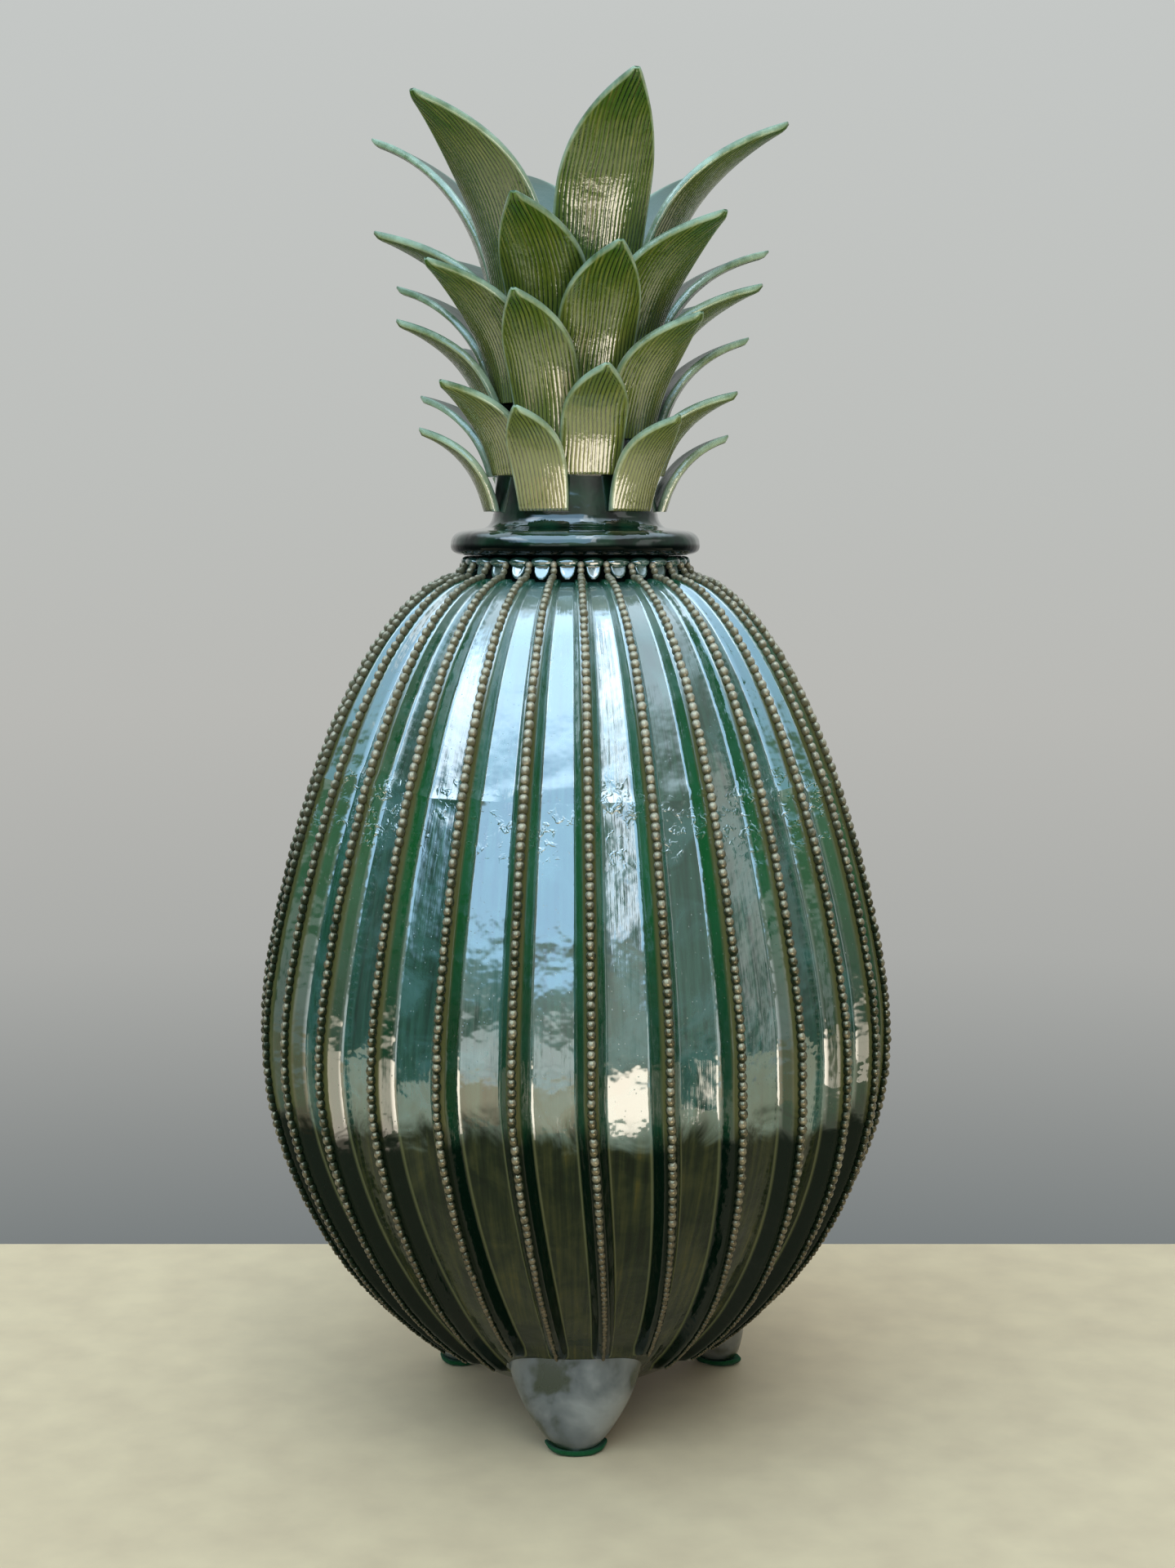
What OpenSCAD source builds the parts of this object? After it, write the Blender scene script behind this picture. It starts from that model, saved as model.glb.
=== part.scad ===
// Lidded earthenware jar in the form of a pineapple: a fluted egg-shaped body in two
// moulded halves on three padded feet, and a lift-off lid that carries a crown of leaves.
// Millimetres, +Z up, origin on the table under the jar's axis, front toward -Y.

/* [Body] */
// Diameter of the body at its widest, measured on the panels between the ridges
belly_d = 300; // [260:1:340]
// Height of the widest place above the table
belly_z = 190; // [180:1:215]
// Height of the lowest point of the rounded underside
base_z = 8; // [6:0.5:12]
// Height of the shoulder's inner edge, where the collar stands
shoulder_z = 412; // [395:1:440]
// Height of the joint between the two moulded halves
seam_z = 317; // [280:1:345]
// Thickness of the clay wall
body_wall = 8; // [6:0.5:10]
// Swell of the upper half: 1 is a cone, 2 is a dome
upper_swell = 1.35; // [1.1:0.05:1.8]
// Roundness of the shoulder: smaller is squarer
upper_round = 0.56; // [0.45:0.01:0.7]
// Swell of the lower half: 1 is a cone, 2 is a bowl
lower_swell = 1.75; // [1.5:0.05:2.2]
// Roundness of the underside: smaller is squarer
lower_round = 0.535; // [0.5:0.005:0.62]

/* [Flutes] */
// Number of flutes, and of ridges between them
flutes = 28; // [22:2:34]
// Height of a ridge above the panels, at the belly
flute_depth = 5; // [2:0.5:7]
// Share of that height that is left at the shoulder
flute_depth_top = 0.35; // [0.2:0.05:1]
// Width of a ridge's crest
ridge_w = 5; // [4.6:0.2:6]
// Share of the space between two crests that the flat panel takes
panel_share = 0.56; // [0.4:0.02:0.7]
// Turn of the first ridge from the front
flute_turn = 2.6; // [0:0.1:6]
// Drift of the ridges to the right, from the belly down to the feet
flute_drift = 6; // [0:0.5:8]
// Height on the body at which the free ridges end
ridge_end_z = 38; // [34:1:44]

/* [Bead strings] */
// Diameter of a bead
bead_d = 4.2; // [3:0.2:4.6]
// Height that the beads stand above the crest
bead_rise = 3.4; // [2:0.2:4]

/* [Collar] */
// Outer diameter of the collar
collar_d = 106; // [90:1:120]
// Thickness of the collar
collar_wall = 8; // [6:0.5:10]
// Height of the collar above the shoulder
collar_h = 12; // [8:0.5:16]
// Diameter of a scallop boss on the collar
scallop_d = 9; // [6:0.5:9.5]
// Height that a scallop boss stands out of the collar
scallop_rise = 2.2; // [1:0.2:3]

/* [Feet] */
// Radius of the circle on which the feet stand
foot_circle_r = 73; // [70:1:76]
// Distance that the right foot stands further out than the other two
foot_right_out = 13; // [0:1:14]
// Turn of the right foot from the front one
foot_right_turn = 119; // [110:1:130]
// Turn of the left foot from the front one
foot_left_turn = 234; // [230:1:250]
// Width of a foot where it meets its pad
foot_end_w = 21; // [18:1:26]
// Thickness of a foot from front to back where it meets its pad
foot_end_t = 18; // [14:1:19]
// Width of a foot where it meets the body
foot_top_w = 66; // [56:1:70]
// Thickness of a foot from front to back where it meets the body
foot_top_t = 46; // [42:1:50]
// Height at which a foot's outer face meets the body
foot_top_z = 49; // [46:1:54]
// Radius of the circle on which the tops of the feet lie
foot_top_r = 64; // [60:1:66]
// Width of a felt pad
pad_w = 31; // [28:1:36]
// Length of a felt pad from front to back
pad_l = 20; // [19:0.5:24]
// Thickness of a felt pad
pad_t = 2.5; // [1.5:0.5:4]

/* [Lid] */
// Outer diameter of the lid's rim
rim_d = 122; // [116:1:132]
// Thickness of the rounded rim
rim_t = 10; // [8:0.5:12]
// Clearance between the lid's seat and the collar
seat_gap = 0.2; // [0.2:0.1:1]
// Clearance round the locating ring in the mouth
spigot_gap = 1.5; // [0.5:0.1:3]
// Depth of the locating ring
spigot_h = 13; // [8:1:18]
// Thickness of the locating ring
spigot_wall = 6; // [4:0.5:8]
// Height of the lid's flare above its rim
flare_h = 10; // [6:0.5:14]

/* [Crown] */
// Diameter of the stem where it meets the lid
stem_d = 80; // [74:1:82]
// Diameter of the stem below its dome
stem_top_d = 68; // [62:1:72]
// Height of the stem, without its dome
stem_h = 100; // [94:1:110]
// Height of the stem's domed top
stem_dome_h = 9; // [6:0.5:14]
// Thickness of the stem's wall
stem_wall = 7; // [5:0.5:9]
// Turn of the first leaf of the lowest tier from the front
crown_turn = -21; // [-30:1:30]
// Twist from each tier to the next, besides the half step that staggers them
tier_twist = 1.2; // [0:0.2:4]

/* [Leaves] */
// Number of tiers of leaves
tiers = 6; // [6]
// Number of leaves in a tier
tier_leaves = 6; // [6]
// Height from the stem's foot to the lowest leaves
leaf_first_z = 1; // [0:0.5:3]
// Height between the feet of two tiers
tier_step = 17; // [15.5:0.5:18]
// Number of tiers of short leaves at the foot of the crown
short_tiers = 2; // [1:1:3]
// Height of the short leaves
leaf_h_short = 41; // [36:1:48]
// Height of the leaves of the first tier above the short ones
leaf_h_middle = 55; // [50:1:60]
// Gain in height from each of the middle tiers to the next
leaf_h_gain = 4.5; // [0:0.5:6]
// Height of the long leaves of the topmost tier
leaf_h_long = 98; // [84:1:106]
// Width of a leaf of the lowest tier
leaf_w = 25; // [20:1:28]
// Gain in width from each tier to the next
leaf_w_gain = 3.6; // [2:0.2:3.8]
// Distance from the axis to the tips of the lowest tier
leaf_reach = 76; // [70:1:82]
// Gain in reach from each tier to the next
leaf_reach_gain = 5.4; // [3:0.2:7]
// Thickness of a leaf at its middle
leaf_t = 4; // [3:0.25:4.25]
// Distance that a leaf's back leans away from the stem
leaf_lean = 8; // [7:0.5:10]
// Share of its height at which a leaf bends outward
leaf_bend = 0.8; // [0.7:0.02:0.86]
// Height that the front leaves gain and the back ones lose
leaf_front_rise = 9; // [0:0.5:10]
// Height that the leaves on the right lose
leaf_right_drop = 4; // [0:0.5:6]
// Difference in height between leaves made by hand
leaf_vary = 1.5; // [0:0.5:3]

/* [Hidden] */

$fn = 96;
eps = 0.01;
belly_r = belly_d/2;
collar_r = collar_d/2;
mouth_r = collar_r - collar_wall;
// The shoulder's inner edge stands a little out of the collar, under the ends of the ridges
neck_lip = 1.5;
neck_r = collar_r + neck_lip;
pitch = 360/flutes;
// Distance over which a ridge rises from its end, and the radius over which it fades at the shoulder
ridge_fade = 4;
fade_top_r = 60;
// Largest share of the ring that the crests may take where the body narrows
crest_share = 0.42;
foot_clear_z = foot_top_z + 2;
collar_top = shoulder_z + collar_h;
lid_z = collar_top + seat_gap;
stem_z = lid_z + rim_t + flare_h;
foot_angles = [0, foot_right_turn, foot_left_turn];
foot_joint = 0.1;
leaf_seat = 0.3;

clay_green = "#1f5a2e";
clay_dark = "#123d20";
bead_taupe = "#8a7f6c";
leaf_olive = "#5a7434";
foot_grey = "#5c6660";
felt_green = "#1f6b35";

// Radius of the panels at a height, from one power curve above the belly and one below
function upper_r(z) = let (t = (z - belly_z)/(shoulder_z - belly_z))
    neck_r + (belly_r - neck_r)*pow(max(0, 1 - pow(t, upper_swell)), upper_round);
function lower_r(z) = let (t = (belly_z - z)/(belly_z - base_z))
    belly_r*pow(max(0, 1 - pow(t, lower_swell)), lower_round);
function panel_r(z) = z >= belly_z ? upper_r(z) : lower_r(z);

function evenly(from, to, steps) = [for (i = [0:steps - 1]) from + (to - from)*i/steps];

// Heights of the rings: close together where the profile turns or a ridge ends
under_z = [for (t = [0.996, 0.97]) belly_z - t*(belly_z - base_z)];
ridge_z = [ridge_end_z - 2*ridge_fade, ridge_end_z - ridge_fade, ridge_end_z,
    foot_clear_z, foot_clear_z + ridge_fade];
seam_turn = asin((seam_z - belly_z)/(shoulder_z - belly_z));
lower_z = concat(under_z, ridge_z,
    evenly(foot_clear_z + 5*ridge_fade, belly_z, 4), evenly(belly_z, seam_z, 4), [seam_z]);
upper_z = [for (i = [1:7]) let (a = seam_turn + (90 - seam_turn)*i/7)
    belly_z + (shoulder_z - belly_z)*sin(a)];
profile = [for (z = concat(lower_z, upper_z)) [panel_r(z), z]];
top_i = len(profile) - 1;
seam_i = len(lower_z) - 1;

// Direction out of the body at station i, square to its neighbours' chord
function outward(i) = let (d = profile[min(top_i, i + 1)] - profile[max(0, i - 1)])
    [d[1], -d[0]]/norm(d);

// A ridge runs straight down to the belly and drifts below it
function drift(z) = flute_drift*pow(max(0, belly_z - z)/(belly_z - ridge_end_z), 1.3);
function ridge_angle(k) = flute_turn + k*pitch;

// A ridge over a foot ends at the foot's top, a free one runs further down
foot_half_angle = asin(foot_top_w/2/panel_r(foot_top_z)) + pitch/2;
function turn_between(a, b) = abs(((a - b) % 360 + 540) % 360 - 180);
function over_foot(a) = min([for (f = foot_angles) turn_between(a, f)]) < foot_half_angle;
function ridge_end(k) = over_foot(ridge_angle(k) + flute_drift) ? foot_clear_z + ridge_fade : ridge_end_z;
function ridge_height(k, p) = p[1] < ridge_end(k) - eps ? 0
    : flute_depth*min(1, flute_depth_top + (1 - flute_depth_top)*(p[0] - neck_r)/fade_top_r);

// A point at a tangential offset x and a radius r, turned from the front toward +X
function turned(x, r, z, a) = [x*cos(a) + r*sin(a), x*sin(a) - r*cos(a), z];

// Middle of ridge k's crest at station i
function crest(i, k) = profile[i] + ridge_height(k, profile[i])*outward(i);
function crest_w(r) = min(ridge_w, crest_share*2*PI*r/flutes);

// One ring of the fluted skin: for each flute the right edge of its ridge, the two
// edges of the panel and the left edge of the next ridge
function fluted_ring(i) = [for (k = [0:flutes - 1]) let (
    p = profile[i],
    a = ridge_angle(k) + drift(p[1]),
    w = crest_w(p[0]),
    half_panel = panel_share*(pitch - w/p[0]*180/PI)/2,
    c = crest(i, k),
    d = crest(i, k + 1))
    each [turned(w/2, c[0], c[1], a),
        turned(0, p[0], p[1], a + pitch/2 - half_panel),
        turned(0, p[0], p[1], a + pitch/2 + half_panel),
        turned(-w/2, d[0], d[1], a + pitch)]];

// One ring of the plain inner skin, with a corner behind each ridge
function inner_ring(p) = [for (k = [0:flutes - 1]) turned(0, p[0], p[1], ridge_angle(k) + drift(p[1]))];
function inside(i) = let (q = profile[i] - body_wall*outward(i)) [max(1, q[0]), q[1]];

// Faces between rings of n points whose first points are at a, each ring above the last
function band(a, b, n) = [for (j = [0:n - 1]) let (m = (j + 1) % n)
    each [[a + j, b + j, b + m], [a + j, b + m, a + m]]];
function bands(first, n, rings) = [for (i = [0:rings - 2]) each band(first + i*n, first + (i + 1)*n, n)];
// Faces of the flat ring between a fluted edge and an inner edge
function edge_band(outer, inner) = [for (k = [0:flutes - 1]) let (
    o = outer + 4*k, last = outer + (4*k + 4) % (4*flutes),
    i = inner + k, m = inner + (k + 1) % flutes)
    each [[i, o, o + 1], [i, o + 1, o + 2], [i, o + 2, m], [m, o + 2, o + 3], [m, o + 3, last]]];
function flipped(faces) = [for (f = faces) [f[2], f[1], f[0]]];

module body_lower_shell() {
    ring_n = 4*flutes;
    rings = seam_i + 1;
    hollow = concat([for (i = [0:seam_i - 1]) inside(i)], [[inside(seam_i)[0], seam_z]]);
    inner = rings*ring_n;
    pole = inner + rings*flutes;
    points = concat(
        [for (i = [0:seam_i]) each fluted_ring(i)],
        [for (p = hollow) each inner_ring(p)],
        [[0, 0, base_z], [0, 0, base_z + body_wall]]);
    faces = concat(
        bands(0, ring_n, rings),
        flipped(bands(inner, flutes, rings)),
        flipped(edge_band(seam_i*ring_n, inner + seam_i*flutes)),
        [for (j = [0:ring_n - 1]) [pole, j, (j + 1) % ring_n]],
        [for (j = [0:flutes - 1]) [pole + 1, inner + (j + 1) % flutes, inner + j]]);
    color(clay_green) polyhedron(points, faces);
}

module body_upper_shell() {
    ring_n = 4*flutes;
    rings = top_i - seam_i + 1;
    // Corners on this radius leave the flats between them on the collar
    bore_r = collar_r/cos(pitch/2);
    hollow = concat(
        [[inside(seam_i)[0], seam_z]],
        [for (i = [seam_i + 1:top_i - 1]) inside(i)],
        [[bore_r, shoulder_z - body_wall], [bore_r, shoulder_z]]);
    inner = rings*ring_n;
    points = concat(
        [for (i = [seam_i:top_i]) each fluted_ring(i)],
        [for (p = hollow) each inner_ring(p)]);
    faces = concat(
        bands(0, ring_n, rings),
        flipped(bands(inner, flutes, len(hollow))),
        edge_band(0, inner),
        flipped(edge_band((rings - 1)*ring_n, inner + (len(hollow) - 1)*flutes)));
    color(clay_green) polyhedron(points, faces);
}

module neck_collar() {
    lip = 1.5;
    low = shoulder_z - body_wall;
    color(clay_green) rotate_extrude() polygon([
        [mouth_r, low], [collar_r, low], [collar_r, collar_top - lip], [collar_r - lip, collar_top],
        [mouth_r + lip, collar_top], [mouth_r, collar_top - lip]]);
}

// Round bosses with their backs on the collar's face
module collar_scallops() {
    below_top = 1.5;
    sunk = 1;
    middle = collar_top - below_top - scallop_d/2;
    color(clay_green) for (k = [0:flutes - 1]) intersection() {
        rotate([0, 0, ridge_angle(k) + pitch/2]) translate([0, sunk - collar_r, middle])
            rotate([90, 0, 0]) cylinder(d = scallop_d, h = scallop_rise + 2*sunk);
        rotate_extrude() translate([collar_r, shoulder_z]) square([scallop_rise, collar_h]);
    }
}

// One string on ridge k: a low strip over the whole crest, which the beads fill
module bead_string(k) {
    top_w = 0.6*bead_d;
    rows = [for (i = [0:top_i]) if (profile[i][1] > ridge_end(k) - eps) i];
    function section(i) = let (
        c = crest(i, k),
        t = c + bead_rise*outward(i),
        w = crest_w(profile[i][0]))
        [for (q = [[w/2, c], [top_w/2, t], [-top_w/2, t], [-w/2, c]])
            turned(q[0], q[1][0], q[1][1], ridge_angle(k) + drift(profile[i][1]))];
    n = 4;
    points = [for (i = rows) each section(i)];
    last = len(points) - n;
    polyhedron(points, flipped(concat(bands(0, n, len(rows)),
        [[0, 1, 2], [0, 2, 3]], [[last + 2, last + 1, last], [last + 3, last + 2, last]])));
}

module bead_strings() {
    color(bead_taupe) for (k = [0:flutes - 1]) bead_string(k);
}

// Solid that fills the body out to the panels and a thin joint round them
module body_fill() {
    rotate_extrude() polygon(concat([[0, base_z - foot_joint]],
        [for (i = [0:seam_i]) profile[i] + foot_joint*outward(i)], [[0, seam_z]]));
}

// Radius at which foot n stands
function foot_r(n) = foot_circle_r + (n == 1 ? foot_right_out : 0);

// A foot swells upward from an oval end to a broad top with rounded corners
module foot(n) {
    around = 24;
    rings = 7;
    into_body = 3;
    squareness = 0.75;
    top_z = foot_top_z + into_body;
    function corner(v) = sign(v)*pow(abs(v), squareness);
    function foot_ring(i) = let (
        u = i/(rings - 1),
        w = foot_end_w + (foot_top_w - foot_end_w)*sin(90*u),
        t = foot_end_t + (foot_top_t - foot_end_t)*sin(90*u))
        [for (j = [0:around - 1]) let (b = 360*j/around)
            turned(w/2*((1 - u)*cos(b) + u*corner(cos(b))),
                foot_r(n) + (foot_top_r - foot_r(n))*u - t/2*((1 - u)*sin(b) + u*corner(sin(b))),
                pad_t + (top_z - pad_t)*u, foot_angles[n])];
    high = (rings - 1)*around;
    color(foot_grey) difference() {
        polyhedron([for (i = [0:rings - 1]) each foot_ring(i)], concat(bands(0, around, rings),
            [[for (j = [0:around - 1]) j], [for (j = [around - 1:-1:0]) high + j]]));
        body_fill();
    }
}

module felt_pad(n) {
    corners = 48;
    color(felt_green) rotate([0, 0, foot_angles[n]]) translate([0, -foot_r(n), 0]) linear_extrude(pad_t)
        polygon([for (b = evenly(0, 360, corners)) [pad_w/2*cos(b), pad_l/2*sin(b)]]);
}

// Half section of the lid: flat seat, round rim, shallow top and a hollow flare to the stem
module lid_dish() {
    rim_r = rim_t/2;
    ring_r = rim_d/2 - rim_r;
    hole_r = stem_d/2 - stem_wall;
    flare_w = 7;
    crease_rise = 1.5;
    crease = [stem_d/2 + flare_w, lid_z + rim_t + crease_rise];
    foot = [stem_d/2, stem_z];
    rim = [for (a = [-90:15:75]) [ring_r + rim_r*cos(a), lid_z + rim_r + rim_r*sin(a)]];
    flare = [for (a = [0:15:90]) [foot[0] + (crease[0] - foot[0])*(1 - sin(a)),
        crease[1] + (foot[1] - crease[1])*(1 - cos(a))]];
    color(clay_dark) rotate_extrude() polygon(concat([[hole_r, lid_z]], rim, flare, [[hole_r, stem_z]]));
}

module lid_spigot() {
    r = mouth_r - spigot_gap;
    taper = 1;
    color(clay_dark) rotate_extrude() polygon([
        [r - spigot_wall, lid_z - spigot_h], [r - taper, lid_z - spigot_h], [r, lid_z - spigot_h + 3*taper],
        [r, lid_z], [r - spigot_wall, lid_z]]);
}

function stem_r(z) = stem_d/2 + (stem_top_d - stem_d)/2*(z - stem_z)/stem_h;

module crown_stem() {
    top = stem_z + stem_h;
    outer_dome = [for (a = [0:15:90]) [stem_top_d/2*cos(a), top + stem_dome_h*sin(a)]];
    inner_dome = [for (a = [90:-15:0]) [(stem_top_d/2 - stem_wall)*cos(a),
        top - stem_wall + stem_dome_h*sin(a)]];
    color(clay_dark) rotate_extrude() polygon(concat(
        [[stem_d/2, stem_z]], outer_dome, inner_dome, [[stem_d/2 - stem_wall, stem_z]]));
}

// Middle line of a leaf's back in radius and height: up along the stem, then out to the tip
function bend(a, b, c, s) = (1 - s)*(1 - s)*a + 2*s*(1 - s)*b + s*s*c;
function bend_out(a, b, c, s) = let (d = (1 - s)*(b - a) + s*(c - b)) [d[1], -d[0]]/norm(d);

// Width of a leaf along its length: nearly full at the foot, widest below the middle, then to a point
widest = 0.45;
foot_share = 0.84;
tip_share = 0.05;
function blade(s) = s < widest ? foot_share + (1 - foot_share)*sin(90*s/widest)
    : tip_share + (1 - tip_share)*cos(90*(s - widest)/(1 - widest));

module leaf(t, k) {
    steps = 8;
    across = 4;
    a = crown_turn + (t - 1)*tier_twist + ((t - 1) % 2 + 2*(k - 1))*180/tier_leaves;
    vary = leaf_front_rise*pow(cos(a), 3) - leaf_right_drop*max(0, sin(a)) + leaf_vary*sin(97*t + 143*k);
    foot_z = stem_z + leaf_first_z + (t - 1)*tier_step;
    height = vary + (t <= short_tiers ? leaf_h_short : t == tiers ? leaf_h_long
        : leaf_h_middle + (t - short_tiers - 1)*leaf_h_gain);
    reach = leaf_reach + (t - 1)*leaf_reach_gain;
    w = leaf_w + (t - 1)*leaf_w_gain;
    p0 = [stem_r(foot_z) + leaf_seat, foot_z];
    p1 = [stem_r(foot_z) + leaf_lean, foot_z + leaf_bend*height];
    p2 = [reach, foot_z + height];
    // A leaf thins toward its tip and its edges
    function thick(s, u) = leaf_t*(1 - 0.5*s)*(1 - 0.45*u*u);
    function row(i, front) = [for (j = [0:across]) let (
        s = i/steps,
        u = 2*j/across - 1,
        q = bend(p0, p1, p2, s),
        f = q + (front ? thick(s, u) : 0)*bend_out(p0, p1, p2, s),
        turn = u*blade(s)*w/2/q[0]*180/PI)
        turned(0, f[0], max(f[1], foot_z), a + turn)];
    // Each ring runs over the front from left to right and back behind
    ring_n = 2*(across + 1);
    points = [for (i = [0:steps]) each concat(row(i, true), [for (j = [across:-1:0]) row(i, false)[j]])];
    last = steps*ring_n;
    function cap(first) = [for (j = [0:across - 1]) each [
        [first + j, first + j + 1, first + ring_n - 2 - j],
        [first + j, first + ring_n - 2 - j, first + ring_n - 1 - j]]];
    color(leaf_olive) polyhedron(points,
        concat(bands(0, ring_n, steps + 1), cap(0), flipped(cap(last))));
}

body_lower_shell();
body_upper_shell();
neck_collar();
collar_scallops();
bead_strings();
foot(0);  // foot_front
foot(1);  // foot_right
foot(2);  // foot_left
felt_pad(0);  // felt_pad_front
felt_pad(1);  // felt_pad_right
felt_pad(2);  // felt_pad_left
lid_dish();
lid_spigot();
crown_stem();
for (t = [1:tiers], k = [1:tier_leaves]) {
    leaf(t, k);
}
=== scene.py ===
import math
from functools import partial
import bpy
import numpy as np
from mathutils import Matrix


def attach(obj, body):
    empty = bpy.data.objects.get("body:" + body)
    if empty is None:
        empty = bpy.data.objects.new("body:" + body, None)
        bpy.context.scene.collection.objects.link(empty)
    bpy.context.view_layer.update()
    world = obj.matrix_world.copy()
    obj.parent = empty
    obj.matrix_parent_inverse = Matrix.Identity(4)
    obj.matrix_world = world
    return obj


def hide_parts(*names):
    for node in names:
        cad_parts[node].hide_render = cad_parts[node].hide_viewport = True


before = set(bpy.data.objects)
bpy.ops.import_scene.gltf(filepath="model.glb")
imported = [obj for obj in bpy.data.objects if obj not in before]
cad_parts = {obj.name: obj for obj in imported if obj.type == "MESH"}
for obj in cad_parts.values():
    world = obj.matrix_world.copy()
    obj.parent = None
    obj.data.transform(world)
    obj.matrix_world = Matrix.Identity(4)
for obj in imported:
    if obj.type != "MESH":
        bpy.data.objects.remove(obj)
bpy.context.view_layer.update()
mm = 0.001  # sizes in the dictionaries are millimetres, meshes are metres


# sRGB hex to the linear colour that the sockets take
def linear(hexColour):
    channels = [int(hexColour[i:i + 2], 16) / 255 for i in (1, 3, 5)]
    return tuple(c / 12.92 if c <= 0.04045 else ((c + 0.055) / 1.055) ** 2.4 for c in channels) + (1.0,)


# Links a socket, turns a hex colour to linear, and sets anything else as it is
def setInputs(node, inputs):
    for key, value in inputs.items():
        if isinstance(value, bpy.types.NodeSocket):
            node.id_data.links.new(value, node.inputs[key])
        else:
            isColour = isinstance(value, str) and value.startswith("#")
            node.inputs[key].default_value = linear(value) if isColour else value


# Adds a node with its settings and links, and gives the output to use, or all of them; add is the same with its tree given
# stops fill a colour ramp and points a curve; a map range reads 0 and goes from 1-2 to 3-4, a colour mix lays 7 over 6
def addNode(tree, kind, inputs={}, use=0, stops=(), points=(), **settings):
    node = tree.nodes.new(kind)
    for name, value in settings.items():
        setattr(node, name, value)
    for i, (place, colour) in enumerate(stops):
        stop = node.color_ramp.elements[i] if i < 2 else node.color_ramp.elements.new(place)
        stop.position, stop.color = place, linear(colour)
    for i, place in enumerate(points):
        if 0 < i < len(points) - 1:
            node.mapping.curves[0].points.new(*place)
        else:
            node.mapping.curves[0].points[0 if i == 0 else -1].location = place
    setInputs(node, inputs)
    return node.outputs if use is None else node.outputs[use]


def newMaterial(name, **shaderValues):
    material = bpy.data.materials.new(name)
    material.use_nodes = True
    shader = material.node_tree.nodes["Principled BSDF"]
    labels = {key: key.replace("_", " ").title().replace("Ior", "IOR") for key in shaderValues}
    setInputs(shader, {labels[key]: value for key, value in shaderValues.items()})
    return material, shader, partial(addNode, material.node_tree)


def newTree(name, sockets):
    tree = bpy.data.node_groups.new(name, "GeometryNodeTree")
    for label, kind in {"Geometry": "Geometry", **sockets}.items():
        tree.interface.new_socket(label, in_out="INPUT", socket_type="NodeSocket" + kind)
    tree.interface.new_socket("Geometry", in_out="OUTPUT", socket_type="NodeSocketGeometry")
    return partial(addNode, tree), tree.nodes.new("NodeGroupInput").outputs, tree.nodes.new("NodeGroupOutput")


# Ends a tree: real geometry with its finish
def endTree(add, geometry, finish, end):
    real = add("GeometryNodeRealizeInstances", {0: geometry})
    setInputs(end, {0: add("GeometryNodeSetMaterial", {"Geometry": real, "Material": finish})})
    return end.id_data


# Runs a node tree on a blank and keeps the result as its plain mesh
def grow(piece, tree, values):
    modifier = piece.modifiers.new(tree.name, "NODES")
    modifier.node_group = tree
    for item in tree.interface.items_tree:
        if item.in_out == "INPUT" and item.name in values:
            modifier[item.identifier] = values[item.name]
    graph = bpy.context.evaluated_depsgraph_get()
    grown = piece.evaluated_get(graph)
    mesh = bpy.data.meshes.new_from_object(grown, preserve_all_data_layers=True, depsgraph=graph)
    piece.modifiers.clear()
    piece.data = mesh
    mesh.name = piece.name
    return piece


# A mesh object; fields are kept on its points, one number or one direction for each
def newPiece(name, points, faces, fields={}, smooth=True, sharpAngle=None):
    mesh = bpy.data.meshes.new(name)
    mesh.from_pydata(np.asarray(points).tolist(), [], faces)
    for field, values in fields.items():
        values = np.asarray(values, dtype=np.float32)
        kind, key = ("FLOAT_VECTOR", "vector") if values.ndim > 1 else ("FLOAT", "value")
        mesh.attributes.new(field, kind, "POINT").data.foreach_set(key, values.ravel())
    if faces and smooth:
        mesh.shade_smooth()
        if sharpAngle:
            mesh.set_sharp_from_angle(angle=math.radians(sharpAngle))
    piece = bpy.data.objects.new(name, mesh)
    bpy.context.scene.collection.objects.link(piece)
    return piece


# Skins rings that run round the same way; a pole closes an end at one point, loop joins the last ring to the first
# mapped gives the UV place of each ring's points, with the first repeated at its end
def skinRings(name, rings, fields={}, mapped=None, poles=(None, None), loop=False, sharpAngle=None):
    count, around = rings.shape[:2]
    points = rings.reshape(-1, 3).tolist()
    index = np.arange(count * around).reshape(count, around)
    fields = {key: value.reshape((-1,) + value.shape[2:]) for key, value in fields.items()}
    faces, corners = [], []
    for i in range(count if loop else count - 1):
        low, high = index[i], index[(i + 1) % count]
        faces += np.stack([low, np.roll(low, -1), np.roll(high, -1), high], axis=1).tolist()
        if mapped is not None:
            a, b = mapped[i], mapped[i + 1]
            corners.append(np.stack([a[:-1], a[1:], b[1:], b[:-1]], axis=1).reshape(-1, 2))
    for row, pole in zip((0, -1), poles):
        if pole is None:
            continue
        points.append(tuple(pole))
        tip, ring = len(points) - 1, index[row]
        pairs = zip(ring.tolist(), np.roll(ring, -1).tolist())
        faces += [[tip, b, a] if row == 0 else [tip, a, b] for a, b in pairs]
        fields = {key: np.concatenate([value, value[ring[:1]]]) for key, value in fields.items()}
        if mapped is not None:
            edge = mapped[row]
            middle = np.stack([(edge[:-1, 0] + edge[1:, 0]) / 2, edge[:-1, 1]], axis=1)
            sides = [edge[1:], edge[:-1]] if row == 0 else [edge[:-1], edge[1:]]
            corners.append(np.stack([middle] + sides, axis=1).reshape(-1, 2))
    piece = newPiece(name, points, faces, fields, sharpAngle=sharpAngle)
    if mapped is not None:
        layer = piece.data.uv_layers.new(name="glazeMap")
        layer.data.foreach_set("uv", np.concatenate(corners).astype(np.float32).ravel())
    return piece


# Point at a turn from the front, toward the right
def turned(sideways, out, height, turn):
    x = sideways * np.cos(turn) + out * np.sin(turn)
    y = sideways * np.sin(turn) - out * np.cos(turn)
    return np.stack([x, y, height + 0 * turn], axis=-1)


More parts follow.
